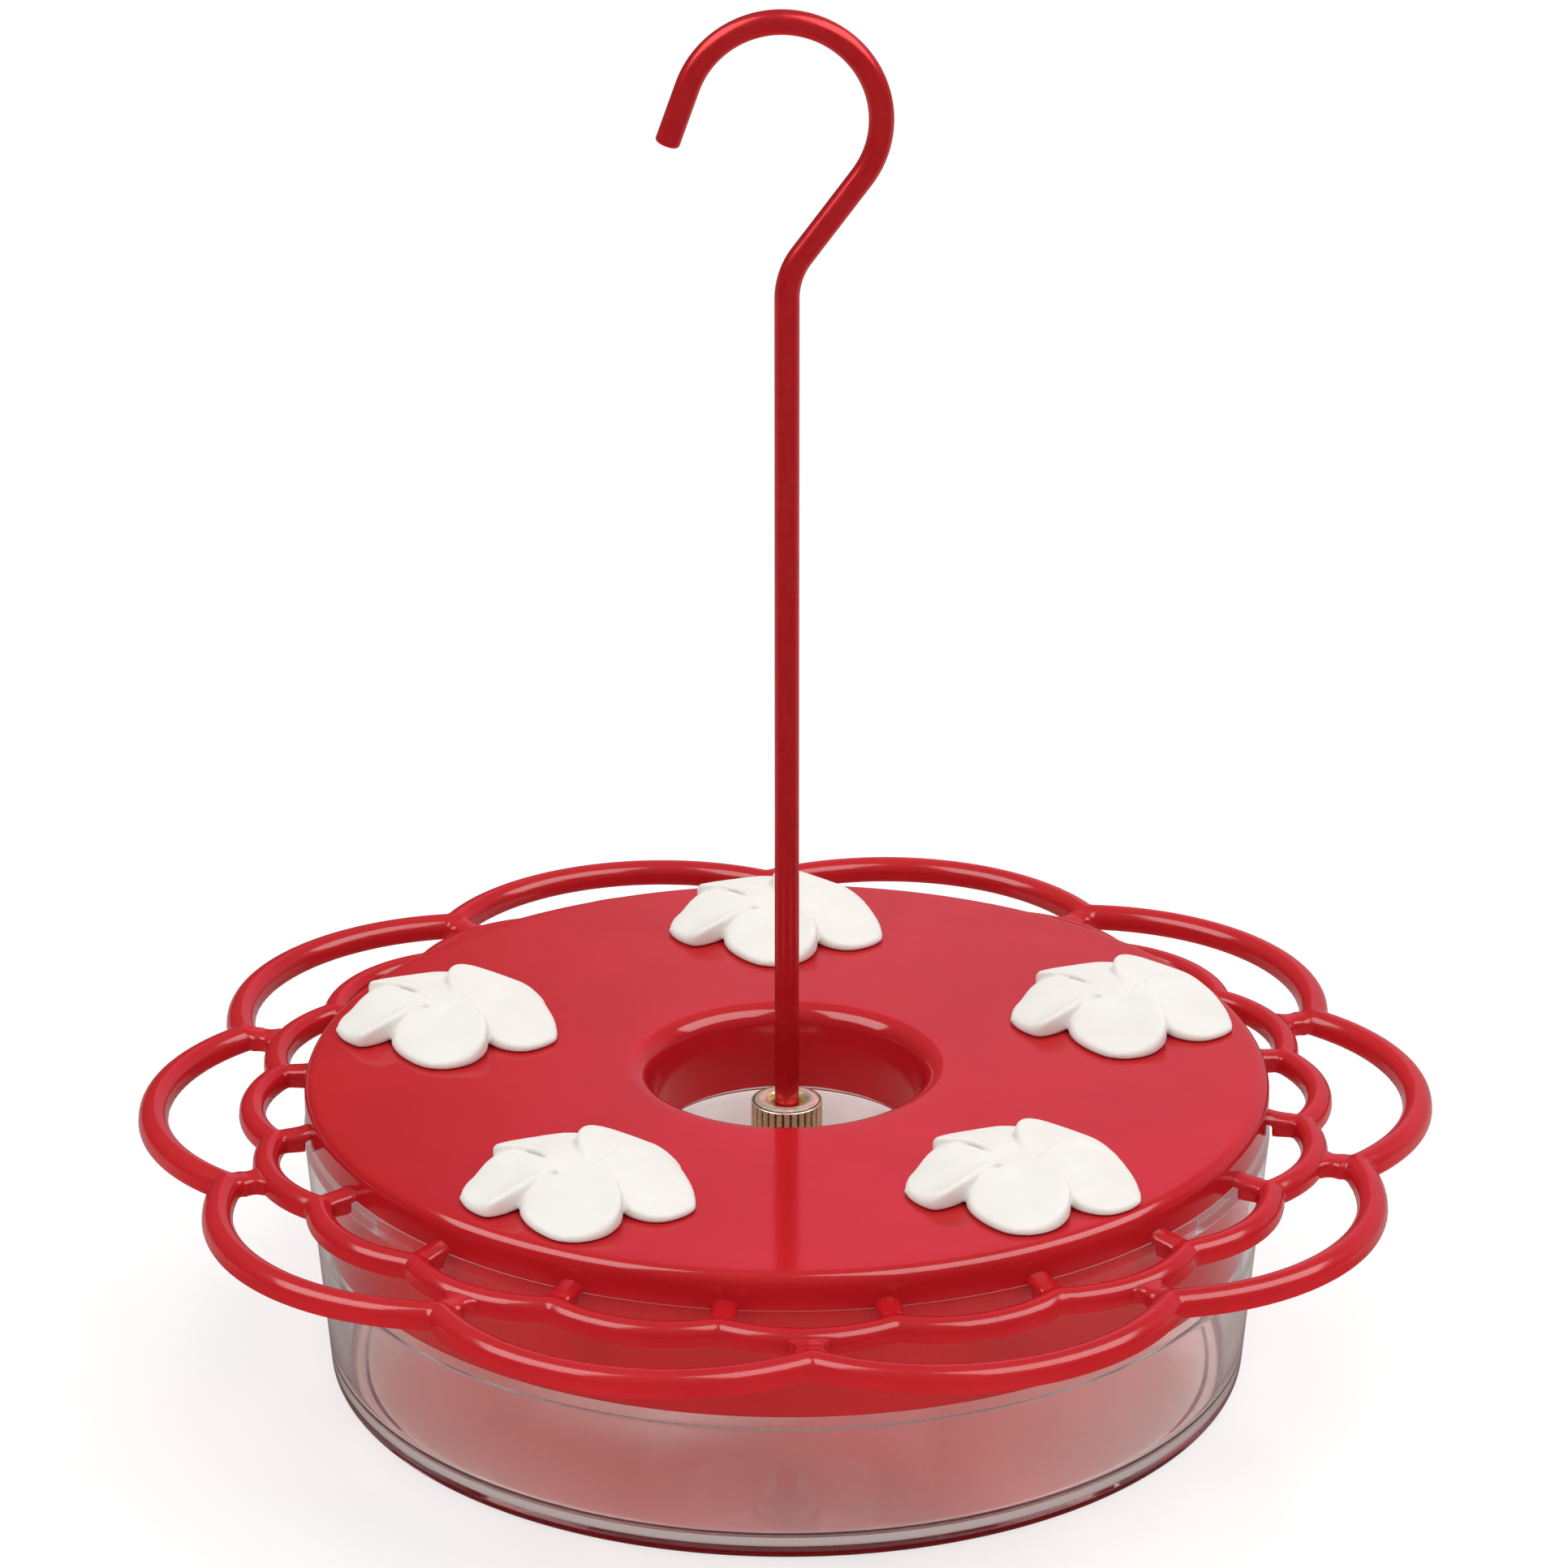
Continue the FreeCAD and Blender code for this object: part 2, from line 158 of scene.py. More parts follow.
def voxel(ob, size, smooth_iter=4, factor=0.5):
    """Voxel union of everything in the mesh, then light smoothing, applied."""
    rm = ob.modifiers.new("remesh", "REMESH")
    rm.mode = "VOXEL"
    rm.voxel_size = size * MM
    rm.adaptivity = 0.0
    rm.use_smooth_shade = True
    if smooth_iter:
        sm = ob.modifiers.new("smooth", "SMOOTH")
        sm.iterations = smooth_iter
        sm.factor = factor
    dg = bpy.context.evaluated_depsgraph_get()
    dg.update()
    me = bpy.data.meshes.new_from_object(ob.evaluated_get(dg))
    ob.modifiers.clear()
    old = ob.data
    ob.data = me
    bpy.data.meshes.remove(old)
    me.polygons.foreach_set("use_smooth", [True] * len(me.polygons))
    return ob


# ------------------------------------------------------------------ material helpers
def base_material(name):
    mat = bpy.data.materials.new(name)
    mat.use_nodes = True
    nt = mat.node_tree
    nt.nodes.clear()
    out = nt.nodes.new("ShaderNodeOutputMaterial")
    bsdf = nt.nodes.new("ShaderNodeBsdfPrincipled")
    nt.links.new(bsdf.outputs[0], out.inputs["Surface"])
    return mat, nt, bsdf, out


def node(nt, kind, **kw):
    n = nt.nodes.new(kind)
    for k, v in kw.items():
        setattr(n, k, v)
    return n


def noise(nt, scale, detail=3.0, rough=0.5, stretch=None):
    co = node(nt, "ShaderNodeTexCoord")
    src = co.outputs["Object"]
    if stretch:
        mp = node(nt, "ShaderNodeMapping")
        mp.inputs["Scale"].default_value = stretch
        nt.links.new(src, mp.inputs["Vector"])
        src = mp.outputs["Vector"]
    n = node(nt, "ShaderNodeTexNoise")
    n.inputs["Scale"].default_value = scale
    n.inputs["Detail"].default_value = detail
    n.inputs["Roughness"].default_value = rough
    nt.links.new(src, n.inputs["Vector"])
    return n.outputs["Fac"]


def remap(nt, fac, lo, hi, flo=0.3, fhi=0.7):
    m = node(nt, "ShaderNodeMapRange")
    m.inputs["From Min"].default_value = flo
    m.inputs["From Max"].default_value = fhi
    m.inputs["To Min"].default_value = lo
    m.inputs["To Max"].default_value = hi
    nt.links.new(fac, m.inputs["Value"])
    return m.outputs["Result"]


def two_tone(nt, fac, a, b, flo=0.35, fhi=0.65):
    r = node(nt, "ShaderNodeValToRGB")
    r.color_ramp.elements[0].position = flo
    r.color_ramp.elements[0].color = (*a, 1)
    r.color_ramp.elements[1].position = fhi
    r.color_ramp.elements[1].color = (*b, 1)
    nt.links.new(fac, r.inputs["Fac"])
    return r.outputs["Color"]


def bump(nt, height, strength, dist_mm, chain=None):
    b = node(nt, "ShaderNodeBump")
    b.inputs["Strength"].default_value = strength
    b.inputs["Distance"].default_value = dist_mm * MM
    nt.links.new(height, b.inputs["Height"])
    if chain is not None:
        nt.links.new(chain, b.inputs["Normal"])
    return b.outputs["Normal"]


def red_plastic(name, glow, rough):
    """Gloss red moulding; glow: the part is thin enough to let some red light through."""
    mat, nt, b, out = base_material(name)
    big = noise(nt, 38, 3)
    col = two_tone(nt, big, (0.490, 0.0105, 0.0155), (0.535, 0.0130, 0.0190))
    nt.links.new(col, b.inputs["Base Color"])
    nt.links.new(remap(nt, noise(nt, 120, 4, 0.6), *rough), b.inputs["Roughness"])
    n1 = bump(nt, noise(nt, 260, 2, 0.4), 0.07, 0.08)
    n2 = bump(nt, noise(nt, 900, 3, 0.6), 0.08, 0.025, n1)
    nt.links.new(n2, b.inputs["Normal"])
    b.inputs["IOR"].default_value = 1.47
    b.inputs["Subsurface Weight"].default_value = 0.25
    b.inputs["Subsurface Radius"].default_value = (1.0, 0.06, 0.05)
    b.inputs["Subsurface Scale"].default_value = 0.0015
    if glow:
        lp = node(nt, "ShaderNodeLightPath")
        tr = node(nt, "ShaderNodeBsdfTransparent")
        tr.inputs["Color"].default_value = (0.66, 0.13, 0.12, 1)
        mx = node(nt, "ShaderNodeMixShader")
        nt.links.new(lp.outputs["Is Shadow Ray"], mx.inputs["Fac"])
        nt.links.new(b.outputs[0], mx.inputs[1])
        nt.links.new(tr.outputs[0], mx.inputs[2])
        nt.links.new(mx.outputs[0], out.inputs["Surface"])
    return mat


def skirt_plastic():
    """The same red moulding inside the bowl, where it is left matt, given a brighter red than outside: painted light on
    the inner skirt.
    """
    mat, nt, b, out = base_material("red_skirt_painted_light")
    # brighter red base colour than the outer cover: painted light inside the bowl
    col = two_tone(nt, noise(nt, 30, 3), (0.680, 0.0060, 0.0100), (0.730, 0.0080, 0.0125))
    nt.links.new(col, b.inputs["Base Color"])
    nt.links.new(remap(nt, noise(nt, 200, 3), 0.50, 0.62), b.inputs["Roughness"])
    nt.links.new(bump(nt, noise(nt, 700, 3, 0.6), 0.12, 0.03), b.inputs["Normal"])
    b.inputs["Specular IOR Level"].default_value = 0.15
    lp = node(nt, "ShaderNodeLightPath")
    tr = node(nt, "ShaderNodeBsdfTransparent")
    tr.inputs["Color"].default_value = (0.66, 0.13, 0.12, 1)
    mx = node(nt, "ShaderNodeMixShader")
    nt.links.new(lp.outputs["Is Shadow Ray"], mx.inputs["Fac"])
    nt.links.new(b.outputs[0], mx.inputs[1])
    nt.links.new(tr.outputs[0], mx.inputs[2])
    nt.links.new(mx.outputs[0], out.inputs["Surface"])
    return mat


def rod_paint():
    mat, nt, b, out = base_material("rod_paint")
    col = two_tone(nt, noise(nt, 500, 4, 0.6), (0.460, 0.0090, 0.0125), (0.520, 0.0115, 0.0150))
    nt.links.new(col, b.inputs["Base Color"])
    nt.links.new(remap(nt, noise(nt, 220, 3), 0.20, 0.29), b.inputs["Roughness"])
    n1 = bump(nt, noise(nt, 420, 2, 0.45), 0.30, 0.09)
    n2 = bump(nt, noise(nt, 1600, 3, 0.6), 0.22, 0.02, n1)
    nt.links.new(n2, b.inputs["Normal"])
    b.inputs["Metallic"].default_value = 0.35
    b.inputs["Specular IOR Level"].default_value = 0.40
    return mat


def white_plastic():
    mat, nt, b, out = base_material("white_plastic")
    col = two_tone(nt, noise(nt, 90, 4, 0.6), (0.790, 0.772, 0.735), (0.830, 0.815, 0.782))
    nt.links.new(col, b.inputs["Base Color"])
    nt.links.new(remap(nt, noise(nt, 400, 3), 0.50, 0.62), b.inputs["Roughness"])
    n1 = bump(nt, noise(nt, 160, 3, 0.5), 0.16, 0.12)
    n2 = bump(nt, noise(nt, 1300, 3, 0.65), 0.18, 0.03, n1)
    nt.links.new(n2, b.inputs["Normal"])
    b.inputs["Specular IOR Level"].default_value = 0.35
    b.inputs["Subsurface Weight"].default_value = 0.12
    b.inputs["Subsurface Radius"].default_value = (1.0, 0.9, 0.8)
    b.inputs["Subsurface Scale"].default_value = 0.0012
    return mat


def brass():
    mat, nt, b, out = base_material("brass")
    col = two_tone(nt, noise(nt, 700, 4, 0.6), (0.74, 0.62, 0.47), (0.88, 0.80, 0.70))
    gold = two_tone(nt, noise(nt, 900, 4, 0.6), (0.62, 0.46, 0.17), (0.86, 0.70, 0.34))
    # dark brown for the painted shade in the grooves and round the lip
    groove_and_lip_shade = two_tone(nt, noise(nt, 900, 4, 0.6), (0.13, 0.080, 0.035), (0.26, 0.17, 0.08))
    co = node(nt, "ShaderNodeTexCoord")
    flat = node(nt, "ShaderNodeVectorMath", operation="MULTIPLY")
    flat.inputs[1].default_value = (1, 1, 0)
    nt.links.new(co.outputs["Object"], flat.inputs[0])
    rad = node(nt, "ShaderNodeVectorMath", operation="LENGTH")
    nt.links.new(flat.outputs[0], rad.inputs[0])
    xyz = node(nt, "ShaderNodeSeparateXYZ")
    nt.links.new(co.outputs["Object"], xyz.inputs[0])

    def zone(value, f0, f1, t0, t1):
        m = node(nt, "ShaderNodeMapRange", interpolation_type="SMOOTHSTEP")
        for k, v in zip(("From Min", "From Max", "To Min", "To Max"), (f0, f1, t0, t1)):
            m.inputs[k].default_value = v
        nt.links.new(value, m.inputs["Value"])
        return m.outputs["Result"]

    def blend(fac, a, c):
        m = node(nt, "ShaderNodeMix", data_type="RGBA")
        nt.links.new(fac, m.inputs[0])
        nt.links.new(a, m.inputs[6])
        nt.links.new(c, m.inputs[7])
        return m.outputs[2]

    def product(a, c):
        m = node(nt, "ShaderNodeMath", operation="MULTIPLY")
        nt.links.new(a, m.inputs[0])
        nt.links.new(c, m.inputs[1])
        return m.outputs[0]

    # bare gold in the countersink and on the flutes; painted shade, a dark brown, at the bottom of each groove and
    # round the lip
    top = (TOWER_Z + NUT_H) * MM
    r_out, r_in = NUT_R * MM, NUT_SINK_R * MM
    sink = zone(rad.outputs["Value"], r_in + 0.0004, r_in + 0.0009, 1.0, 0.0)
    side = zone(xyz.outputs["Z"], top - 0.0009, top - 0.0004, 1.0, 0.0)
    deep = product(zone(rad.outputs["Value"], r_out - 0.00042, r_out - 0.00012, 1.0, 0.0), product(side, zone(rad.outputs["Value"], r_out - 0.0009, r_out - 0.0007, 0.0, 1.0)))
    lip = product(zone(rad.outputs["Value"], r_out - 0.00075, r_out - 0.00055, 0.0, 1.0), zone(rad.outputs["Value"], r_out - 0.00030, r_out - 0.00012, 1.0, 0.0))
    lip = product(lip, zone(xyz.outputs["Z"], top - 0.0005, top - 0.0003, 0.0, 1.0))
    col = blend(sink, col, gold)
    col = blend(product(side, zone(rad.outputs["Value"], r_out - 0.0009, r_out - 0.0007, 0.0, 0.55)), col, gold)
    col = blend(deep, col, groove_and_lip_shade)
    col = blend(lip, col, groove_and_lip_shade)
    nt.links.new(col, b.inputs["Base Color"])
    nt.links.new(remap(nt, noise(nt, 900, 3), 0.20, 0.32), b.inputs["Roughness"])
    nt.links.new(bump(nt, noise(nt, 1500, 3), 0.10, 0.01), b.inputs["Normal"])
    b.inputs["Metallic"].default_value = 0.65
    return mat


def zinc():
    mat, nt, b, out = base_material("zinc_steel")
    col = two_tone(nt, noise(nt, 600, 4, 0.6), (0.52, 0.53, 0.55), (0.68, 0.69, 0.70))
    nt.links.new(col, b.inputs["Base Color"])
    nt.links.new(remap(nt, noise(nt, 900, 3), 0.28, 0.42), b.inputs["Roughness"])
    nt.links.new(bump(nt, noise(nt, 1500, 3), 0.15, 0.02), b.inputs["Normal"])
    b.inputs["Metallic"].default_value = 1.0
    return mat


def clear_plastic():
    mat, nt, b, out = base_material("clear_plastic")
    col = two_tone(nt, noise(nt, 26, 2), (0.947, 0.933, 0.925), (0.967, 0.956, 0.948))
    # painted refraction: the base colour turns dark maroon at the thick corner of the foot, where the red of the cover
    # shows through it
    co = node(nt, "ShaderNodeTexCoord")
    xyz = node(nt, "ShaderNodeSeparateXYZ")
    nt.links.new(co.outputs["Object"], xyz.inputs[0])
    flat = node(nt, "ShaderNodeVectorMath", operation="MULTIPLY")
    flat.inputs[1].default_value = (1, 1, 0)
    nt.links.new(co.outputs["Object"], flat.inputs[0])
    rad = node(nt, "ShaderNodeVectorMath", operation="LENGTH")
    nt.links.new(flat.outputs[0], rad.inputs[0])
    low = node(nt, "ShaderNodeMapRange", interpolation_type="SMOOTHSTEP")
    edge = node(nt, "ShaderNodeMapRange", interpolation_type="SMOOTHSTEP")
    for n, v, f0, f1, t0, t1 in ((low, xyz.outputs["Z"], 0.0024, 0.0036, 1.0, 0.0), (edge, rad.outputs["Value"], 0.0872, 0.0884, 0.0, 1.0)):
        for k, q in zip(("From Min", "From Max", "To Min", "To Max"), (f0, f1, t0, t1)):
            n.inputs[k].default_value = q
        nt.links.new(v, n.inputs["Value"])
    painted_foot_band = node(nt, "ShaderNodeMath", operation="MULTIPLY")
    nt.links.new(low.outputs["Result"], painted_foot_band.inputs[0])
    nt.links.new(edge.outputs["Result"], painted_foot_band.inputs[1])
    mc = node(nt, "ShaderNodeMix", data_type="RGBA")
    nt.links.new(painted_foot_band.outputs[0], mc.inputs[0])
    nt.links.new(col, mc.inputs[6])
    # dark maroon of the painted refraction at the foot
    mc.inputs[7].default_value = (0.19, 0.078, 0.088, 1)
    nt.links.new(mc.outputs[2], b.inputs["Base Color"])
    nt.links.new(remap(nt, noise(nt, 60, 3), 0.012, 0.035), b.inputs["Roughness"])
    nt.links.new(bump(nt, noise(nt, 45, 2, 0.4), 0.10, 0.12), b.inputs["Normal"])
    b.inputs["Transmission Weight"].default_value = 1.0
    b.inputs["IOR"].default_value = 1.52
    # the polished outside mirrors less than the walls do within
    geo = node(nt, "ShaderNodeNewGeometry")
    tint = node(nt, "ShaderNodeMix", data_type="RGBA")
    tint.inputs[6].default_value = (0.45, 0.45, 0.45, 1)
    tint.inputs[7].default_value = (1.0, 1.0, 1.0, 1)
    nt.links.new(geo.outputs["Backfacing"], tint.inputs[0])
    nt.links.new(tint.outputs[2], b.inputs["Specular Tint"])
    # light that has bounced along inside the wall for long is replaced by an emission: a painted glow, pale low down
    # and red towards the rim
    lp = node(nt, "ShaderNodeLightPath")
    deep = node(nt, "ShaderNodeMath", operation="GREATER_THAN")
    deep.inputs[1].default_value = 7.5
    nt.links.new(lp.outputs["Ray Depth"], deep.inputs[0])
    painted_glow = node(nt, "ShaderNodeEmission")
    rim = node(nt, "ShaderNodeMapRange", interpolation_type="SMOOTHSTEP")
    rim.inputs["From Min"].default_value = 0.030
    rim.inputs["From Max"].default_value = 0.040
    nt.links.new(xyz.outputs["Z"], rim.inputs["Value"])
    hc = node(nt, "ShaderNodeMix", data_type="RGBA")
    hc.inputs[6].default_value = (0.45, 0.37, 0.355, 1)
    hc.inputs[7].default_value = (0.38, 0.11, 0.115, 1)
    nt.links.new(rim.outputs["Result"], hc.inputs[0])
    nt.links.new(hc.outputs[2], painted_glow.inputs["Color"])
    hz = node(nt, "ShaderNodeMixShader")
    nt.links.new(deep.outputs[0], hz.inputs["Fac"])
    nt.links.new(b.outputs[0], hz.inputs[1])
    nt.links.new(painted_glow.outputs[0], hz.inputs[2])
    # lamps and bounced light reach what is inside the bowl
    tr = node(nt, "ShaderNodeBsdfTransparent")
    tr.inputs["Color"].default_value = (0.93, 0.92, 0.91, 1)
    mx = node(nt, "ShaderNodeMixShader")
    nt.links.new(lp.outputs["Is Shadow Ray"], mx.inputs["Fac"])
    nt.links.new(hz.outputs[0], mx.inputs[1])
    nt.links.new(tr.outputs[0], mx.inputs[2])
    nt.links.new(mx.outputs[0], out.inputs["Surface"])
    return mat


def outside_gloss(nt):
    """1 in plain reflections, less in light that bounces about inside the clear plastic before it leaves."""
    lp = node(nt, "ShaderNodeLightPath")

    def math_node(op, a, b, c=None):
        n = node(nt, "ShaderNodeMath", operation=op, use_clamp=True)
        for i, v in enumerate((a, b) if c is None else (a, b, c)):
            if isinstance(v, (int, float)):
                n.inputs[i].default_value = v
            else:
                nt.links.new(v, n.inputs[i])
        return n.outputs[0]

    gd, td = lp.outputs["Glossy Depth"], lp.outputs["Transmission Depth"]
    mirrored = math_node("MULTIPLY", gd, 1.0)
    often = math_node("SUBTRACT", gd, 1.0)
    through = math_node("MULTIPLY", td, 1.0)
    share = math_node("MULTIPLY", through, math_node("MULTIPLY_ADD", often, 0.45, 0.35))
    return math_node("MULTIPLY", mirrored, math_node("SUBTRACT", 1.0, share))


def floor_material():
    """Pale table top with painted light: its emission is weaker under the bowl (painted shade) and stronger to the
    right of it (painted light), and in glossy reflections a dark diffuse is mixed in, more towards the front (painted
    dark reflection).
    """
    mat, nt, b, out = base_material("floor")
    col = two_tone(nt, noise(nt, 3, 2), (0.835, 0.832, 0.826), (0.850, 0.847, 0.842))
    nt.links.new(col, b.inputs["Base Color"])
    b.inputs["Roughness"].default_value = 0.75
    b.inputs["Specular IOR Level"].default_value = 0.2
    b.inputs["Emission Color"].default_value = (1.0, 0.985, 0.975, 1)
    co = node(nt, "ShaderNodeTexCoord")
    far = node(nt, "ShaderNodeVectorMath", operation="LENGTH")
    nt.links.new(co.outputs["Object"], far.inputs[0])
    # emission lower under the bowl than around it: painted shade beneath the feeder
    glow = node(nt, "ShaderNodeMapRange", interpolation_type="SMOOTHSTEP")
    glow.inputs["From Min"].default_value = 0.085
    glow.inputs["From Max"].default_value = 0.20
    glow.inputs["To Min"].default_value = 0.07
    glow.inputs["To Max"].default_value = 0.34
    nt.links.new(far.outputs["Value"], glow.inputs["Value"])
    place = node(nt, "ShaderNodeSeparateXYZ")
    nt.links.new(co.outputs["Object"], place.inputs[0])
    # extra emission to the right of the bowl: painted light
    right = node(nt, "ShaderNodeMapRange", interpolation_type="SMOOTHSTEP")
    for k, v in zip(("From Min", "From Max", "To Min", "To Max"), (0.01, 0.10, 0.0, 0.16)):
        right.inputs[k].default_value = v
    nt.links.new(place.outputs["X"], right.inputs["Value"])
    total = node(nt, "ShaderNodeMath", operation="ADD")
    nt.links.new(glow.outputs["Result"], total.inputs[0])
    nt.links.new(right.outputs["Result"], total.inputs[1])
    nt.links.new(total.outputs[0], b.inputs["Emission Strength"])
    lim = outside_gloss(nt)
    # dark diffuse for glossy paths, strongest in front: painted dark reflection of the table
    dark = node(nt, "ShaderNodeBsdfDiffuse")
    dark.inputs["Color"].default_value = (0.15, 0.145, 0.14, 1)
    xyz = node(nt, "ShaderNodeSeparateXYZ")
    nt.links.new(co.outputs["Object"], xyz.inputs[0])
    front = node(nt, "ShaderNodeMapRange", interpolation_type="SMOOTHSTEP")
    for k, v in zip(("From Min", "From Max", "To Min", "To Max"), (-0.04, 0.05, 1.0, 0.60)):
        front.inputs[k].default_value = v
    nt.links.new(xyz.outputs["Y"], front.inputs["Value"])
    dull = node(nt, "ShaderNodeMath", operation="MULTIPLY")
    nt.links.new(lim, dull.inputs[0])
    nt.links.new(front.outputs["Result"], dull.inputs[1])
    mx = node(nt, "ShaderNodeMixShader")
    nt.links.new(dull.outputs[0], mx.inputs["Fac"])
    nt.links.new(b.outputs[0], mx.inputs[1])
    nt.links.new(dark.outputs[0], mx.inputs[2])
    lp = node(nt, "ShaderNodeLightPath")
    seen = node(nt, "ShaderNodeMath", operation="MULTIPLY")
    seen.inputs[1].default_value = 0.62
    nt.links.new(lp.outputs["Is Camera Ray"], seen.inputs[0])
    white = node(nt, "ShaderNodeEmission")
    white.inputs["Color"].default_value = (1.0, 1.0, 1.0, 1)
    white.inputs["Strength"].default_value = 1.02
    lift = node(nt, "ShaderNodeMixShader")
    nt.links.new(seen.outputs[0], lift.inputs["Fac"])
    nt.links.new(mx.outputs[0], lift.inputs[1])
    nt.links.new(white.outputs[0], lift.inputs[2])
    nt.links.new(lift.outputs[0], out.inputs["Surface"])
    return mat


M_RED, M_COVER = red_plastic("red_plastic", False, (0.12, 0.17)), red_plastic("red_cover_plastic", True, (0.08, 0.12))
M_ROD, M_WHITE, M_BRASS, M_ZINC, M_CLEAR = rod_paint(), white_plastic(), brass(), zinc(), clear_plastic()


def paint(ob, mat):
    ob.data.materials.clear()
    ob.data.materials.append(mat)


# ------------------------------------------------------------------ camera
CAM_D, CAM_E, CAM_F, CAM_ZT = 1131.1, math.radians(21.28), 7213.2, 119.54
cam_data = bpy.data.cameras.new("camera")
cam = bpy.data.objects.new("camera", cam_data)
scene.collection.objects.link(cam)
cam_data.sensor_width = 36.0
cam_data.lens = 36.0 * CAM_F / 1932.0
cam_data.clip_start, cam_data.clip_end = 0.05, 60.0
cam.location = Vector((-0.56, -CAM_D * math.cos(CAM_E), CAM_ZT + CAM_D * math.sin(CAM_E))) * MM
cam.rotation_euler = (math.pi / 2 - CAM_E, 0, 0)
scene.camera = cam

# ------------------------------------------------------------------ bowl
bowl_line = [
    (bowl_outer(0), 0, BASE_ROUND),
    (bowl_outer(RIM_TAPER_Z), RIM_TAPER_Z, 2.0),
    (RIM_TOP_R, BOWL_H, 0.12),
    (BOWL_R_RIM - WALL_UP, BOWL_H, 0.3),
    (bowl_outer(LEDGE_Z) - WALL_UP, LEDGE_Z, 0.5),
    (bowl_outer(LEDGE_Z) - WALL_LOW, LEDGE_Z, 0.4),
    (bowl_outer(FLOOR_TOP) - WALL_LOW, FLOOR_TOP, 3.0),
    (TOWER_R_BASE, FLOOR_TOP, 2.0),
    (TOWER_R_TOP, TOWER_Z, 0.6),
    (ROD_HOLE_R, TOWER_Z, 0),
    (ROD_HOLE_R, TOWER_Z - TOWER_TOP_T, 0),
    (TOWER_R_TOP - TOWER_WALL, TOWER_Z - TOWER_TOP_T, 0.5),
    (TOWER_R_BASE - TOWER_WALL, FOOT_RECESS, 0.8),
    (FOOT_R_IN, FOOT_RECESS, 0.3),
    (FOOT_R_IN + 0.8, 0, 0.3),
]
bowl = lathe("clear_bowl", rounded(bowl_line), 300)
paint(bowl, M_CLEAR)
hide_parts("bowl")
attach(bowl, "base")

# ------------------------------------------------------------------ cover: turned shape
under = COVER_TOP - COVER_T
cover_line = [
    (SKIRT_R_LOW, SKIRT_Z, 0.5),
    (SKIRT_R_TOP, BOWL_H, 0),
    (COVER_R, BOWL_H, 0.15),
    (COVER_R, COVER_TOP, SHOULDER_R),
    (WELL_R_TOP, COVER_TOP, WELL_LIP),
    (WELL_R_LOW, WELL_Z, 0.4),
    (WELL_R_LOW + WELL_T, WELL_Z, 0.4),
    (WELL_R_TOP + WELL_T, under, 4.0),
    (SKIRT_R_TOP - SKIRT_T, under, 1.5),
    (SKIRT_R_LOW - SKIRT_T, SKIRT_Z, 0.5),
]
cover = lathe("red_cover", rounded(cover_line, 0.3), 360)
paint(cover, M_COVER)
cover.data.materials.append(skirt_plastic())
inside = [1 if (math.hypot(p.center.x, p.center.y) > 80 * MM and p.center.z < (BOWL_H - 0.05) * MM) or p.normal.z < -0.5 else 0
          for p in cover.data.polygons]
cover.data.polygons.foreach_set("material_index", inside)
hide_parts("cover")
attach(cover, "lid")


# ------------------------------------------------------------------ cover: perch ring
def arc_radius(apex, join, half_deg):
    c = join * math.sin(math.radians(half_deg))
    s = apex - join * math.cos(math.radians(half_deg))
    return (c * c + s * s) / (2 * s)


def arc_points(apex, join, half_deg, mid_deg, n):
    """Centre line of one loop, from join to join."""
    r = arc_radius(apex, join, half_deg)
    cr = apex - r
    span = math.asin(join * math.sin(math.radians(half_deg)) / r)
    m = math.radians(mid_deg)
    out = []
    for i in range(n + 1):
        a = m + span * (2 * i / n - 1)
        out.append((cr * math.cos(m) + r * math.cos(a), cr * math.sin(m) + r * math.sin(a)))
    return out


def bar_section(width, z0, z1, crown=0.10, top_r=2.75, low_r=0.8, part=0.12):
    """Rounded bar: softly domed top, round shoulders, near vertical sides, a fine parting line low on each side."""
    w, h = width / 2, z1 - z0
    top_r, low_r = min(top_r, 0.62 * h, 0.95 * w), min(low_r, 0.2 * h)
    dome = lambda x: z1 - crown * (x / w) ** 2
    cx = w - top_r
    th = math.atan(2 * crown * cx / w ** 2)
    xs = cx + top_r * math.sin(th)
    cz = dome(xs) - top_r * math.cos(th)
    top = [(x, dome(x)) for x in np.linspace(0, xs, 6)[:-1]]
    for a in np.linspace(math.pi / 2 - th, 0.05, 8):
        top.append((cx + top_r * math.cos(a), cz + top_r * math.sin(a)))
    zp = z0 + min(1.15, 0.3 * h)
    side = [(w, zp + 0.6), (w + part * 0.2, zp + 0.22), (w + part, zp), (w - 0.02, zp - 0.2)]
    low = [(w - low_r + low_r * math.cos(a), z0 + low_r - low_r * math.sin(a)) for a in np.radians([15, 45, 75])]
    right = top + side + low
    left = [(-x, z) for x, z in reversed(right) if x > 1e-6]
    return right + left


def joined(parts):
    verts, faces = [], []
    for v, f in parts:
        o = len(verts)
        verts.extend(v)
        faces.extend([tuple(i + o for i in q) for q in f])
    return verts, faces


def ray(angle, radii):
    return [(r * math.cos(angle), r * math.sin(angle), 0) for r in radii]


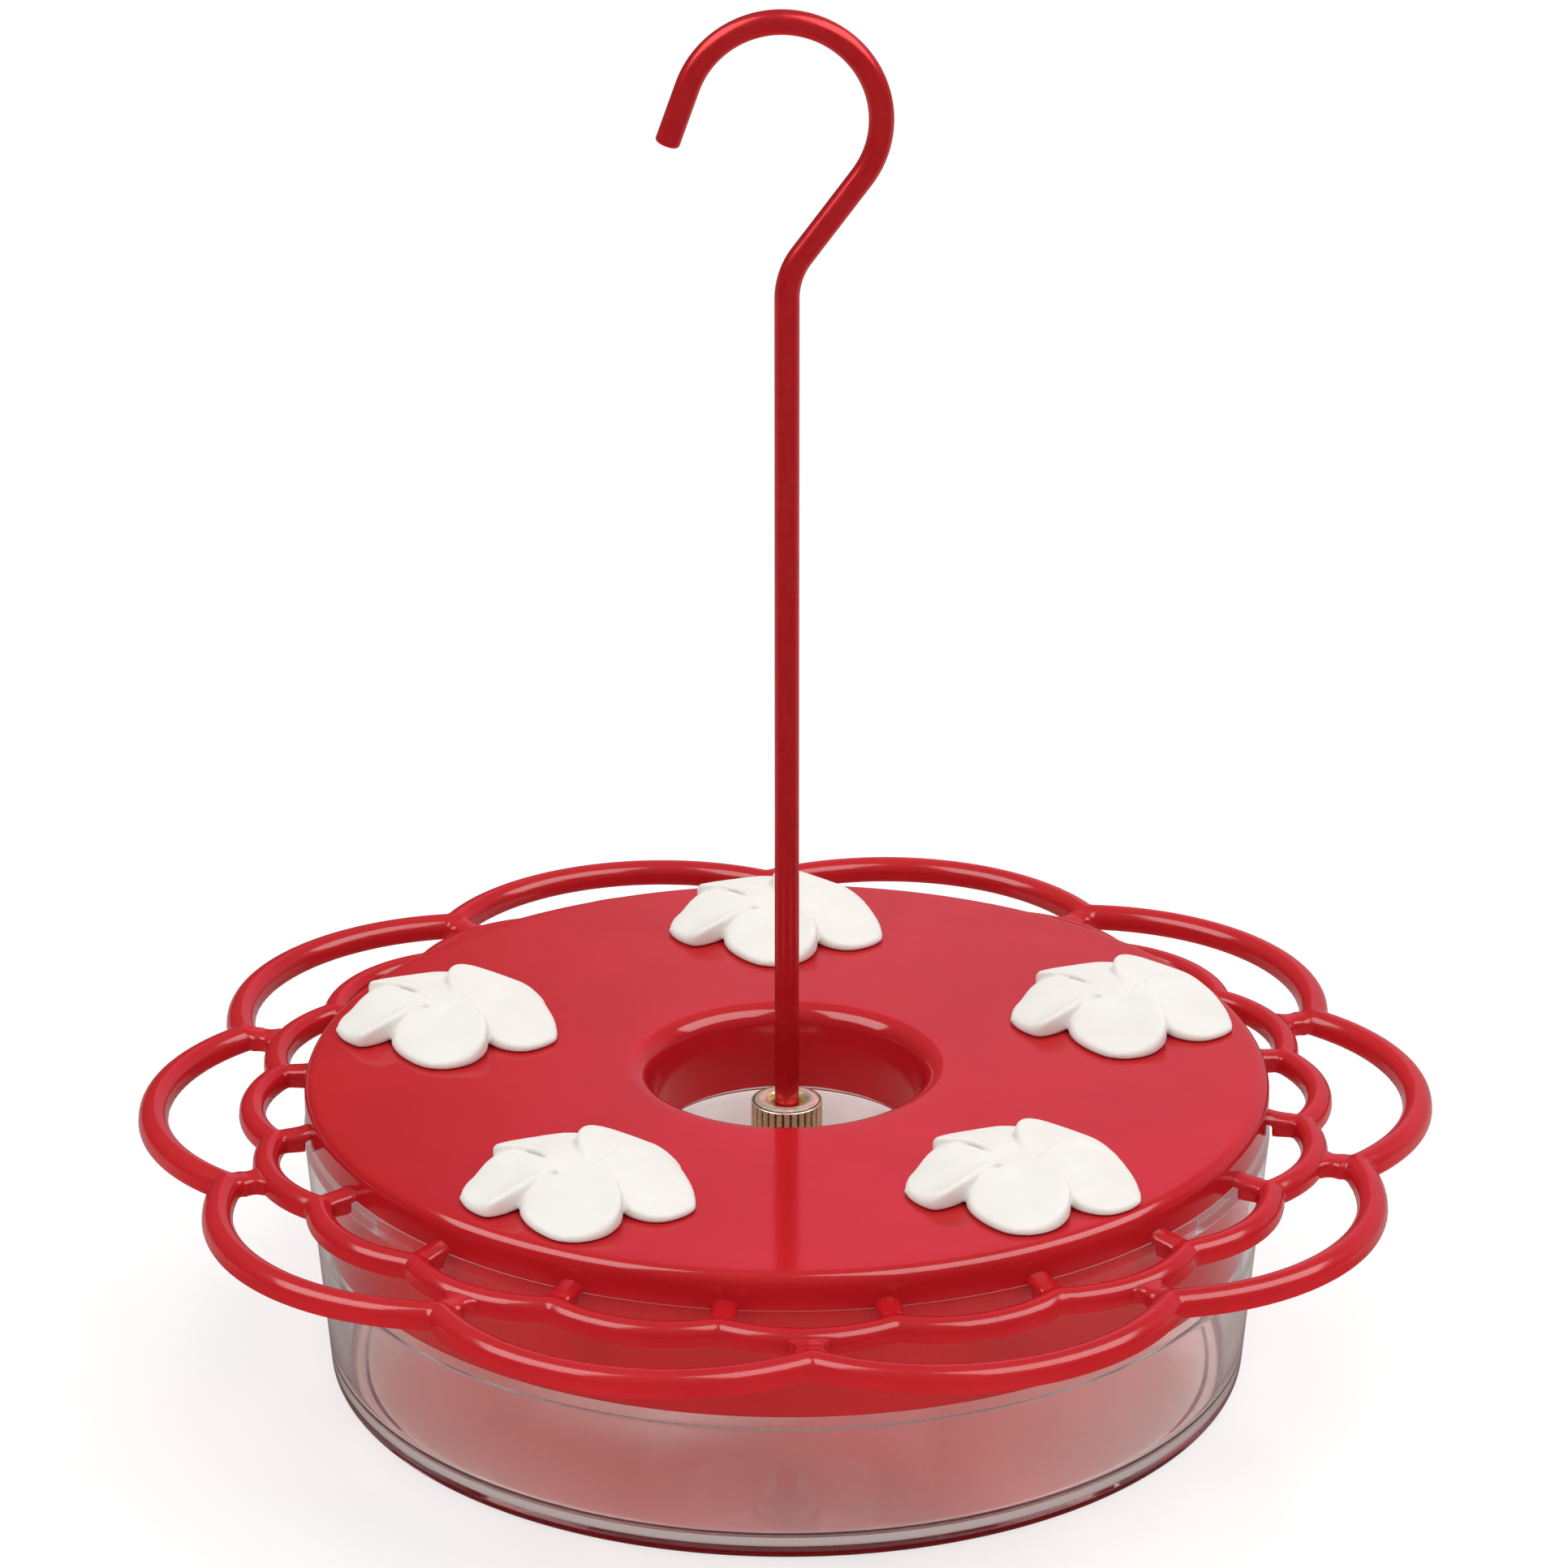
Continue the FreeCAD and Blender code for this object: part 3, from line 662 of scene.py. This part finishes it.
def outer_loops():
    step = 360.0 / PERCH_COUNT
    parts = []
    sec = bar_section(LOOP_BAR, PERCH_BOTTOM, PERCH_TOP + 0.1)

    def web(t):
        # sunk a little below the bars, with small fillets where it runs into them
        r = SCALLOP_APEX_R + 1.6 + t * (111.4 - SCALLOP_APEX_R - 1.6)
        w = WEB_W + 2.6 * min(1.0, max(0.0, (109.3 - r) / 1.7)) ** 2 + 1.4 * min(1.0, max(0.0, (r - 109.6) / 1.6)) ** 2
        return bar_section(w, PERCH_BOTTOM + 0.2, PERCH_TOP - 0.75, 0.25, 0.9)

    for k in range(PERCH_COUNT):
        j = PERCH_PHASE + k * step
        path = [(x, y, 0) for x, y in arc_points(LOOP_APEX_R, LOOP_JOIN_R, step / 2, j + step / 2, 72)]
        parts.append(sweep(path, lambda t: sec))
        parts.append(sweep(ray(math.radians(j), np.linspace(SCALLOP_APEX_R + 1.6, 111.4, 18)), web))
        parts.append(sweep(ray(math.radians(j), (110.8, 114.6)), lambda t: bar_section(5.0, PERCH_BOTTOM + 0.2, PERCH_TOP - 0.55, 0.2, 1.0)))
    ob = new_object("perch_loops", *joined(parts))
    return voxel(ob, 0.50, 3, 0.5)


def inner_scallops():
    step = 360.0 / PERCH_COUNT
    parts = []
    sec = bar_section(SCALLOP_BAR, PERCH_BOTTOM + 0.1, PERCH_TOP - 0.05, 0.10, 2.4)
    neck = bar_section(NUB_W + 0.6, PERCH_BOTTOM + 0.25, PERCH_TOP - 0.25, 0.15, 2.0)

    def arch(t):
        # half round boss on the skirt, running out into the scallop
        w = (NUB_W + 1.4) / 2 + 0.5 * (1 - t) ** 3
        z0, z1 = BOWL_H + 0.15, PERCH_TOP - 0.2 + (NUB_TOP + 0.4 - PERCH_TOP) * (1 - t) ** 2
        out = []
        for a in np.linspace(0, math.pi, 19):
            c, q = math.cos(a), math.sin(a)
            out.append((w * math.copysign(abs(c) ** 0.85, c), z0 + (z1 - z0) * q ** 0.85))
        return out

    for k in range(PERCH_COUNT):
        j = PERCH_PHASE + k * step
        for q in (0, step / 2):
            path = [(x, y, 0) for x, y in arc_points(SCALLOP_APEX_R, SCALLOP_JOIN_R, step / 4, j + q, 44)]
            parts.append(sweep(path, lambda t: sec))
        # short bridges to the cover, over the rim of the bowl
        for q in (1, -1):
            a = math.radians(j + q * step / 4)
            parts.append(sweep(ray(a, (95.6, 102.0)), lambda t: neck))
            parts.append(sweep(ray(a, np.linspace(94.0, 99.6, 14)), arch))
    ob = new_object("perch_scallops", *joined(parts))
    return voxel(ob, 0.47, 2, 0.5)


for perch in (outer_loops(), inner_scallops()):
    paint(perch, M_RED)
    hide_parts("cover")
    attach(perch, "lid")


# ------------------------------------------------------------------ flower ports
# Each petal: plan outline with the height of its top edge (mm), about the flower's middle. The raised
# side of each petal lies over the low side of the next one, anticlockwise.
PETALS = [
    ((-0.6, -11.5), 0.10, [
        (0.9, -0.2, 4.5), (3.0, -0.5, 5.0), (5.2, -2.0, 5.7), (7.2, -5.2, 6.0), (8.5, -9.2, 6.0), (9.0, -13.2, 5.4),
        (8.3, -17.2, 4.0), (6.2, -20.4, 2.6), (3.2, -22.3, 1.7), (0.0, -22.9, 1.4), (-3.6, -21.8, 1.4), (-7.2, -18.0, 1.5),
        (-9.6, -13.5, 1.6), (-10.3, -9.5, 2.2), (-9.0, -5.5, 3.6), (-6.0, -2.7, 4.7), (-2.5, -1.2, 4.9)]),
    ((11.6, -3.2), 0.25, [
        (0.9, -0.4, 4.4), (2.3, 1.6, 5.0), (4.6, 4.0, 5.7), (7.0, 6.3, 6.3), (10.0, 7.6, 6.6), (13.0, 7.8, 6.2),
        (16.5, 7.2, 4.8), (19.5, 4.8, 3.2), (21.4, 0.5, 2.0), (22.3, -4.5, 1.5), (22.2, -9.2, 1.4), (19.5, -12.6, 1.4),
        (15.7, -14.4, 1.4), (11.8, -13.3, 1.6), (8.9, -10.7, 2.3), (6.0, -7.0, 3.3), (3.0, -3.0, 4.2)]),
    ((7.8, 9.6), -0.15, [
        (1.2, 0.8, 4.5), (0.7, 4.5, 5.1), (-0.2, 9.3, 5.9), (-0.4, 13.6, 6.4), (0.7, 16.6, 6.4), (2.9, 17.7, 6.0),
        (5.6, 18.0, 5.2), (9.6, 17.3, 4.1), (12.9, 16.3, 3.2), (15.8, 14.8, 2.5), (18.0, 11.6, 2.0), (19.6, 7.0, 1.7),
        (18.0, 1.5, 2.2), (12.0, 0.0, 3.2), (6.0, 0.0, 4.1), (3.0, 0.2, 4.4)]),
    ((-6.6, 10.4), -0.10, [
        (-0.6, 1.0, 4.4), (-3.0, 2.0, 5.1), (-5.3, 4.4, 5.6), (-8.0, 7.0, 6.0), (-10.8, 7.9, 6.2), (-13.5, 7.8, 6.2),
        (-15.7, 8.6, 5.9), (-16.0, 10.4, 5.0), (-14.3, 13.2, 4.2), (-11.6, 15.4, 3.8), (-8.2, 17.6, 3.4), (-5.2, 19.3, 3.1),
        (-2.4, 20.2, 3.0), (0.6, 20.0, 3.0), (3.6, 17.5, 3.4), (4.6, 12.0, 4.0), (3.6, 6.5, 4.4), (1.6, 2.6, 4.5)]),
    ((-12.0, -2.2), 0.0, [
        (-0.6, -0.4, 4.5), (-3.6, -0.6, 5.1), (-6.4, -3.4, 5.4), (-9.0, -7.2, 5.5), (-11.2, -9.6, 5.2), (-14.0, -11.7, 4.3),
        (-16.4, -12.4, 3.2), (-18.6, -10.7, 1.9), (-20.6, -7.8, 1.5), (-21.6, -4.5, 1.4), (-21.1, -0.2, 1.4), (-19.6, 3.6, 1.5),
        (-17.6, 7.3, 2.9), (-14.5, 8.8, 4.5), (-10.0, 7.2, 5.5), (-5.0, 3.6, 5.4), (-2.0, 1.0, 4.9)]),
]


def smooth_loop(pts, per=7):
    """Closed Catmull-Rom curve through the points."""
    p = np.array(pts, float)
    n = len(p)
    out = []
    for i in range(n):
        p0, p1, p2, p3 = p[i - 1], p[i], p[(i + 1) % n], p[(i + 2) % n]
        for j in range(per):
            t = j / per
            out.append(0.5 * ((2 * p1) + (p2 - p0) * t + (2 * p0 - 5 * p1 + 4 * p2 - p3) * t * t + (3 * p1 - p0 - 3 * p2 + p3) * t ** 3))
    return np.array(out)


def petal_solid(centre, cup, outline):
    o = smooth_loop(outline)
    n = len(o)
    c = np.array(centre, float)
    m = np.c_[np.ones(n), o[:, :2]]
    k, *_ = np.linalg.lstsq(m, o[:, 2], rcond=None)
    res = o[:, 2] - m @ k
    length = np.linalg.norm(o[:, :2] - c, axis=1)
    rt = np.minimum(1.5, 0.62 * o[:, 2])
    rb = np.minimum(1.1, 0.30 * o[:, 2])

    def top(u):
        p = c + (o[:, :2] - c) * u[:, None]
        return p, k[0] + p @ k[1:] + res * u ** 2.4 + cup * (1 - u * u)

    rings = []
    for f in np.linspace(0.07, 1.0, 15):
        p, z = top(f * (1 - rt / length))
        rings.append(np.c_[p, z])
    for a in np.radians([15, 30, 45, 60, 75, 90]):
        p, z = top(1 - rt * (1 - math.sin(a)) / length)
        rings.append(np.c_[p, np.maximum(z - rt * (1 - math.cos(a)), 0.2)])
    for b in np.radians([0, 22, 45, 68, 90]):
        p, z = top(1 - rb * (1 - math.cos(b)) / length)
        rings.append(np.c_[p, rb * (1 - math.sin(b))])
    verts = [tuple(q) for r in rings for q in r]
    count = len(rings)
    faces = []
    for i in range(count - 1):
        for j in range(n):
            j2 = (j + 1) % n
            faces.append((i * n + j, (i + 1) * n + j, (i + 1) * n + j2, i * n + j2))
    verts.append((c[0], c[1], k[0] + c @ k[1:] + cup))
    verts.append((c[0], c[1], 0.0))
    t, bt = len(verts) - 2, len(verts) - 1
    for j in range(n):
        j2 = (j + 1) % n
        faces.append((t, j, j2))
        faces.append((bt, (count - 1) * n + j2, (count - 1) * n + j))
    return verts, faces


def ball(cx, cy, cz, rx, rz, segs=14):
    verts, faces = [], []
    for i in range(segs + 1):
        th = math.pi * i / segs
        for j in range(segs):
            ph = 2 * math.pi * j / segs
            verts.append((cx + rx * math.sin(th) * math.cos(ph), cy + rx * math.sin(th) * math.sin(ph), cz + rz * math.cos(th)))
    for i in range(segs):
        for j in range(segs):
            j2 = (j + 1) % segs
            faces.append((i * segs + j, (i + 1) * segs + j, (i + 1) * segs + j2, i * segs + j2))
    return verts, faces


def cylinder(r0, r1, z0, z1, segs=64, cx=0, cy=0):
    verts = [(cx + r0 * math.cos(2 * math.pi * j / segs), cy + r0 * math.sin(2 * math.pi * j / segs), z0) for j in range(segs)]
    verts += [(cx + r1 * math.cos(2 * math.pi * j / segs), cy + r1 * math.sin(2 * math.pi * j / segs), z1) for j in range(segs)]
    faces = [(j, (j + 1) % segs, segs + (j + 1) % segs, segs + j) for j in range(segs)]
    faces += [tuple(reversed(range(segs))), tuple(range(segs, 2 * segs))]
    return verts, faces


def flower_mesh():
    verts, faces = [], []

    def add(v, f):
        o = len(verts)
        verts.extend(v)
        faces.extend([tuple(i + o for i in q) for q in f])

    base = COVER_TOP + 0.12
    for centre, cup, outline in PETALS:
        v, f = petal_solid(centre, cup, outline)
        add([(x, y, z + base) for x, y, z in v], f)
    add(*cylinder(8.0, 7.0, COVER_TOP + 0.05, COVER_TOP + 2.2))
    add(*cylinder(5.4, 3.4, COVER_TOP + 1.0, COVER_TOP + 4.75))
    # small nibs left by the mould at the petal tips
    for x, y in ((21.9, -9.5), (-21.4, -4.75), (-1.55, -22.4)):
        add(*ball(x, y, base + 0.75, 0.48, 0.45))
    ob = new_object("flower_petals", verts, faces)
    voxel(ob, 0.36, 2, 0.5)
    return ob


def port_stem():
    """Stem, snap bead and feeding tube under the petals, hollow for the bill."""
    u = COVER_TOP - COVER_T - 0.1
    line = [
        (PORT_FEED_R, COVER_TOP + 0.2, 0), (PORT_STEM_R - 0.05, COVER_TOP + 0.2, 0), (PORT_STEM_R - 0.05, u, 0.1),
        (PORT_BEAD_R, u, 0.2), (PORT_STEM_R - 0.9, u - 2.2, 0.2), (PORT_STEM_R - 0.9, u - 5.6, 0.4),
        (PORT_STEM_R - 2.0, u - 5.6, 0.4), (PORT_STEM_R - 2.0, u - 1.0, 0.6), (PORT_FEED_R, u - 1.0, 0.2),
    ]
    return rounded(line, 0.2)


proto = flower_mesh()
stem_proto = lathe("stem", port_stem(), 72)
bm = bmesh.new()
bm.from_mesh(proto.data)
bm.from_mesh(stem_proto.data)
bm.to_mesh(proto.data)
bm.free()
proto.data.polygons.foreach_set("use_smooth", [True] * len(proto.data.polygons))
bpy.data.objects.remove(stem_proto)
paint(proto, M_WHITE)
for i in range(PORT_COUNT):
    a = math.radians(PORT_PHASE + 72 * i)
    me = proto.data.copy()
    me.transform(Matrix.Translation(Vector((PORT_RING_R * math.cos(a), PORT_RING_R * math.sin(a), 0)) * MM))
    ob = bpy.data.objects.new("flower_%d" % (i + 1), me)
    scene.collection.objects.link(ob)
    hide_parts("flower_port_%d" % (i + 1))
    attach(ob, "lid")
bpy.data.objects.remove(proto)


# ------------------------------------------------------------------ hanging rod
def rod_path():
    a1, a2 = math.radians(HOOK_TIP_A), math.radians(NECK_A)
    on = lambda a: np.array([HOOK_CX + HOOK_R * math.cos(a), HOOK_CZ + HOOK_R * math.sin(a)])
    p1, p2 = on(a1), on(a2)
    tip = p1 + np.array([-math.sin(a1), math.cos(a1)]) * HOOK_TIP_L
    nd = np.array([math.sin(a2), -math.cos(a2)])
    knee = p2 + nd * (-p2[0] / nd[0])
    turn = math.acos(float(nd @ np.array([0, -1.0])))
    cut = NECK_BEND_R * math.tan(turn / 2)
    s, e = knee - nd * cut, knee + np.array([0, -cut])
    c = e + np.array([NECK_BEND_R, 0])
    pts = [np.array([0, z]) for z in np.concatenate([np.arange(ROD_END_Z, 60, 0.5), np.linspace(60, e[1], 60)])]
    a_s = math.atan2(s[1] - c[1], s[0] - c[0])
    if a_s < 0:
        a_s += 2 * math.pi
    for t in np.linspace(math.pi, a_s, 14)[1:]:
        pts.append(c + NECK_BEND_R * np.array([math.cos(t), math.sin(t)]))
    for t in np.linspace(0, 1, 12)[1:]:
        pts.append(s + (p2 - s) * t)
    for t in np.linspace(a2, a1, 80)[1:]:
        pts.append(on(t))
    for t in np.linspace(0, 1, 9)[1:]:
        pts.append(p1 + (tip - p1) * t)
    return pts


def rod_mesh():
    pts = rod_path()
    segs = 40
    verts, faces = [], []
    n = len(pts)
    rings = []
    e = HOOK_EDGE
    for i, p in enumerate(pts):
        a, b = pts[max(0, i - 1)], pts[min(n - 1, i + 1)]
        d = (b - a) / np.linalg.norm(b - a)
        rings.append((p, d, ROD_R))
    # rounded ends
    def cap(p, d, sign):
        out = []
        for t in (1.0, 0.8, 0.55, 0.3, 0.12, 0.0):
            ang = t * math.pi / 2
            out.append((p - sign * d * (e - e * math.sin(ang)), d, ROD_R - e + e * math.cos(ang)))
        return out
    start = [(p, d, r) for p, d, r in cap(rings[0][0], rings[0][1], -1)]
    end = [(p, d, r) for p, d, r in cap(rings[-1][0], rings[-1][1], 1)]
    body = [r for r in rings[1:-1] if np.linalg.norm(r[0] - rings[-1][0]) > e * 1.1 and np.linalg.norm(r[0] - rings[0][0]) > e * 1.1]
    # t runs from the flat end to the full section at each cap
    start_seq = start[:]
    end_seq = list(reversed(end))
    allr = start_seq + body + end_seq
    for p, d, r in allr:
        side = np.array([-d[1], d[0]])
        for j in range(segs):
            a = 2 * math.pi * j / segs
            q = p + side * r * math.cos(a)
            verts.append((q[0], r * math.sin(a), q[1]))
    m = len(allr)
    for i in range(m - 1):
        for j in range(segs):
            j2 = (j + 1) % segs
            faces.append((i * segs + j, i * segs + j2, (i + 1) * segs + j2, (i + 1) * segs + j))
    faces.append(tuple(range(segs)))
    faces.append(tuple((m - 1) * segs + j for j in reversed(range(segs))))
    # the thread: a fine V groove wound round the lower end
    out = []
    for x, y, z in verts:
        if z < 52.0 and z > ROD_END_Z + 0.8:
            ang = math.atan2(y, x)
            ph = (z / 0.8 - ang / (2 * math.pi)) % 1.0
            depth = 0.36 * (1 - abs(2 * ph - 1)) * min(1.0, (52.0 - z) / 1.5)
            k = 1 - depth / ROD_R
            x, y = x * k, y * k
        out.append((x, y, z))
    return new_object("painted_rod", out, faces)


rod = rod_mesh()
paint(rod, M_ROD)
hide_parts("hanging_rod")
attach(rod, "base")


# ------------------------------------------------------------------ thumb nut
def nut_mesh():
    z0 = TOWER_Z
    per = 14
    segs = NUT_FLUTES * per
    flute_top = z0 + NUT_H - 0.75

    def radius(a, z, r):
        if z > flute_top + 0.25 or r < NUT_R - 0.6:
            return r
        t = (a * NUT_FLUTES / (2 * math.pi)) % 1.0
        groove = max(0.0, 1 - abs(2 * t - 1) * 1.7)
        groove = groove * groove * (3 - 2 * groove)
        fade = min(1.0, max(0.0, (flute_top + 0.25 - z) / 0.3))
        return r - 0.50 * groove * fade
    prof = [(NUT_BORE_R, z0), (NUT_R - 0.6, z0), (NUT_R - 0.25, z0 + 0.15), (NUT_R, z0 + 0.55)]
    prof += [(NUT_R, z) for z in np.linspace(z0 + 1.0, flute_top - 0.1, 10)]
    prof += [(NUT_R, flute_top + 0.02), (NUT_R, flute_top + 0.12), (NUT_R, flute_top + 0.25), (NUT_R - 0.04, z0 + NUT_H - 0.44)]
    # narrow turned lip, then a slightly domed face that falls away to the countersink
    prof += [(NUT_R - 0.16, z0 + NUT_H - 0.34), (NUT_R - 0.42, z0 + NUT_H - 0.30), (NUT_R - 0.60, z0 + NUT_H - 0.28), (NUT_R - 0.72, z0 + NUT_H - 0.20),
             (NUT_R - 1.00, z0 + NUT_H - 0.06), (NUT_R - 1.40, z0 + NUT_H), (5.0, z0 + NUT_H), (NUT_SINK_R + 1.0, z0 + NUT_H - 0.04), (NUT_SINK_R + 0.70, z0 + NUT_H - 0.14),
             (NUT_SINK_R + 0.45, z0 + NUT_H - 0.36), (NUT_SINK_R - 0.10, z0 + NUT_H - 0.62), (NUT_SINK_R - 0.45, z0 + NUT_H - 0.72), (NUT_SINK_R - 0.62, z0 + NUT_H - 0.90),
             (NUT_SINK_R - 0.66, z0 + NUT_H - 2.2), (NUT_BORE_R + 0.1, z0 + NUT_H - 2.4), (NUT_BORE_R, z0 + NUT_H - 2.6)]
    n = len(prof)
    verts, faces = [], []
    for j in range(segs):
        a = 2 * math.pi * j / segs
        for r, z in prof:
            rr = radius(a, z, r)
            verts.append((rr * math.cos(a), rr * math.sin(a), z))
    for j in range(segs):
        k = (j + 1) % segs
        for i in range(n):
            i2 = (i + 1) % n
            faces.append((j * n + i, k * n + i, k * n + i2, j * n + i2))
    return new_object("knurled_nut", verts, faces)


nut = nut_mesh()
paint(nut, M_BRASS)
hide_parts("thumb_nut")
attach(nut, "nut")

paint(NODES["lower_washer"], M_ZINC)
paint(NODES["lock_nut"], M_ZINC)

# ------------------------------------------------------------------ floor, light
def plane(name, size, z):
    me = bpy.data.meshes.new(name)
    s = size / 2
    me.from_pydata([(-s, -s, z), (s, -s, z), (s, s, z), (-s, s, z)], [], [(0, 1, 2, 3)])
    ob = bpy.data.objects.new(name, me)
    scene.collection.objects.link(ob)
    return ob


floor = plane("floor", 24.0, -0.00005)
paint(floor, floor_material())

world = bpy.data.worlds.new("studio")
scene.world = world
world.use_nodes = True
wn = world.node_tree
wn.nodes.clear()
wo = wn.nodes.new("ShaderNodeOutputWorld")
tc = wn.nodes.new("ShaderNodeTexCoord")
sep = wn.nodes.new("ShaderNodeSeparateXYZ")
wn.links.new(tc.outputs["Generated"], sep.inputs[0])
up = wn.nodes.new("ShaderNodeMath")
up.operation = "MAXIMUM"
up.inputs[1].default_value = 0.0
wn.links.new(sep.outputs["Z"], up.inputs[0])


def sky(low, gain, power, colour):
    """Plain studio surround that gets brighter overhead."""
    sq = wn.nodes.new("ShaderNodeMath")
    sq.operation = "POWER"
    sq.inputs[1].default_value = power
    wn.links.new(up.outputs[0], sq.inputs[0])
    lv = wn.nodes.new("ShaderNodeMath")
    lv.operation = "MULTIPLY_ADD"
    lv.inputs[1].default_value = gain
    lv.inputs[2].default_value = low
    wn.links.new(sq.outputs[0], lv.inputs[0])
    bg = wn.nodes.new("ShaderNodeBackground")
    bg.inputs["Color"].default_value = (*colour, 1)
    wn.links.new(lv.outputs[0], bg.inputs["Strength"])
    return bg


soft = sky(0.48, 0.45, 1.3, (1.0, 0.99, 0.975))
mirror = sky(0.045, 0.32, 1.6, (1.0, 0.985, 0.97))
lim = outside_gloss(wn)


def ramp(value, f0, f1, t0, t1):
    m = wn.nodes.new("ShaderNodeMapRange")
    m.interpolation_type = "SMOOTHSTEP"
    for k, v in zip(("From Min", "From Max", "To Min", "To Max"), (f0, f1, t0, t1)):
        m.inputs[k].default_value = v
    wn.links.new(value, m.inputs["Value"])
    return m.outputs["Result"]


def times(a, b):
    m = wn.nodes.new("ShaderNodeMath")
    m.operation = "MULTIPLY"
    for i, v in enumerate((a, b)):
        if isinstance(v, float):
            m.inputs[i].default_value = v
        else:
            wn.links.new(v, m.inputs[i])
    return m.outputs[0]


# a large reddish reflector low behind the feeder, seen only in polished surfaces
shape = times(ramp(sep.outputs["X"], -0.085, 0.005, 0.0, 1.0), times(ramp(sep.outputs["Z"], 0.46, 0.66, 1.0, 0.0), ramp(sep.outputs["Y"], 0.1, 0.5, 0.0, 1.0)))
reflector = wn.nodes.new("ShaderNodeBackground")
hue = wn.nodes.new("ShaderNodeMix")
hue.data_type = "RGBA"
wn.links.new(ramp(sep.outputs["Z"], 0.385, 0.430, 0.0, 1.0), hue.inputs[0])
hue.inputs[6].default_value = (0.50, 0.30, 0.37, 1)
hue.inputs[7].default_value = (1.15, 0.18, 0.32, 1)
wn.links.new(hue.outputs[2], reflector.inputs["Color"])
wn.links.new(times(shape, 1.0), reflector.inputs["Strength"])
both = wn.nodes.new("ShaderNodeAddShader")
wn.links.new(mirror.outputs[0], both.inputs[0])
wn.links.new(reflector.outputs[0], both.inputs[1])
wm = wn.nodes.new("ShaderNodeMixShader")
wn.links.new(lim, wm.inputs["Fac"])
wn.links.new(soft.outputs[0], wm.inputs[1])
wn.links.new(both.outputs[0], wm.inputs[2])
wn.links.new(wm.outputs[0], wo.inputs["Surface"])


def area(name, loc, target, size, power, color=(1, 1, 1), size_y=None, gloss=True, shade=True, along=None):
    ld = bpy.data.lights.new(name, "AREA")
    ld.energy = power
    ld.color = color
    ld.shape = "RECTANGLE"
    ld.size = size
    ld.size_y = size_y or size
    ob = bpy.data.objects.new(name, ld)
    scene.collection.objects.link(ob)
    ob.location = loc
    d = Vector(target) - Vector(loc)
    ob.rotation_euler = d.to_track_quat("-Z", "Y").to_euler()
    if along is not None:
        z = -d.normalized()
        x = (Vector(along) - z * Vector(along).dot(z)).normalized()
        ob.rotation_euler = Matrix((x, z.cross(x), z)).transposed().to_euler()
    ob.visible_glossy = gloss
    ob.visible_diffuse = shade
    return ob


area("overhead_left", (-0.45, -0.20, 1.25), (0, 0.0, 0.06), 0.50, 3.0, (1, 0.99, 0.975), 0.35, gloss=False)
area("key_right", (0.50, 0.30, 0.95), (0, 0.0, 0.06), 0.40, 3.0, (1, 0.99, 0.98), 0.30, gloss=False)
area("back_left", (-0.9, 0.75, 0.85), (0, 0, 0.06), 0.35, 0.9, (1, 0.985, 0.96), 0.22, gloss=False)
area("front_fill", (0.10, -1.20, 0.34), (0, 0, 0.04), 0.8, 1.5, (1, 0.99, 0.98), gloss=False)
area("box_right", (0.66, -0.17, 1.05), (0, 0, 0.05), 1.25, 15.0, (1, 0.99, 0.98), 0.85, shade=False, along=(0.857, 0.883, -0.394))
area("box_left", (-0.72, -0.17, 1.00), (0, 0, 0.05), 0.85, 11.0, (1, 0.99, 0.98), 0.85, shade=False, along=(-0.857, 0.883, -0.394))

scene.view_settings.view_transform = "Standard"
scene.view_settings.look = "None"
scene.view_settings.exposure = 0.0
scene.cycles.max_bounces = 10
scene.cycles.transmission_bounces = 9
scene.cycles.transparent_max_bounces = 14
scene.cycles.glossy_bounces = 8
scene.cycles.diffuse_bounces = 3
scene.cycles.use_denoising = True
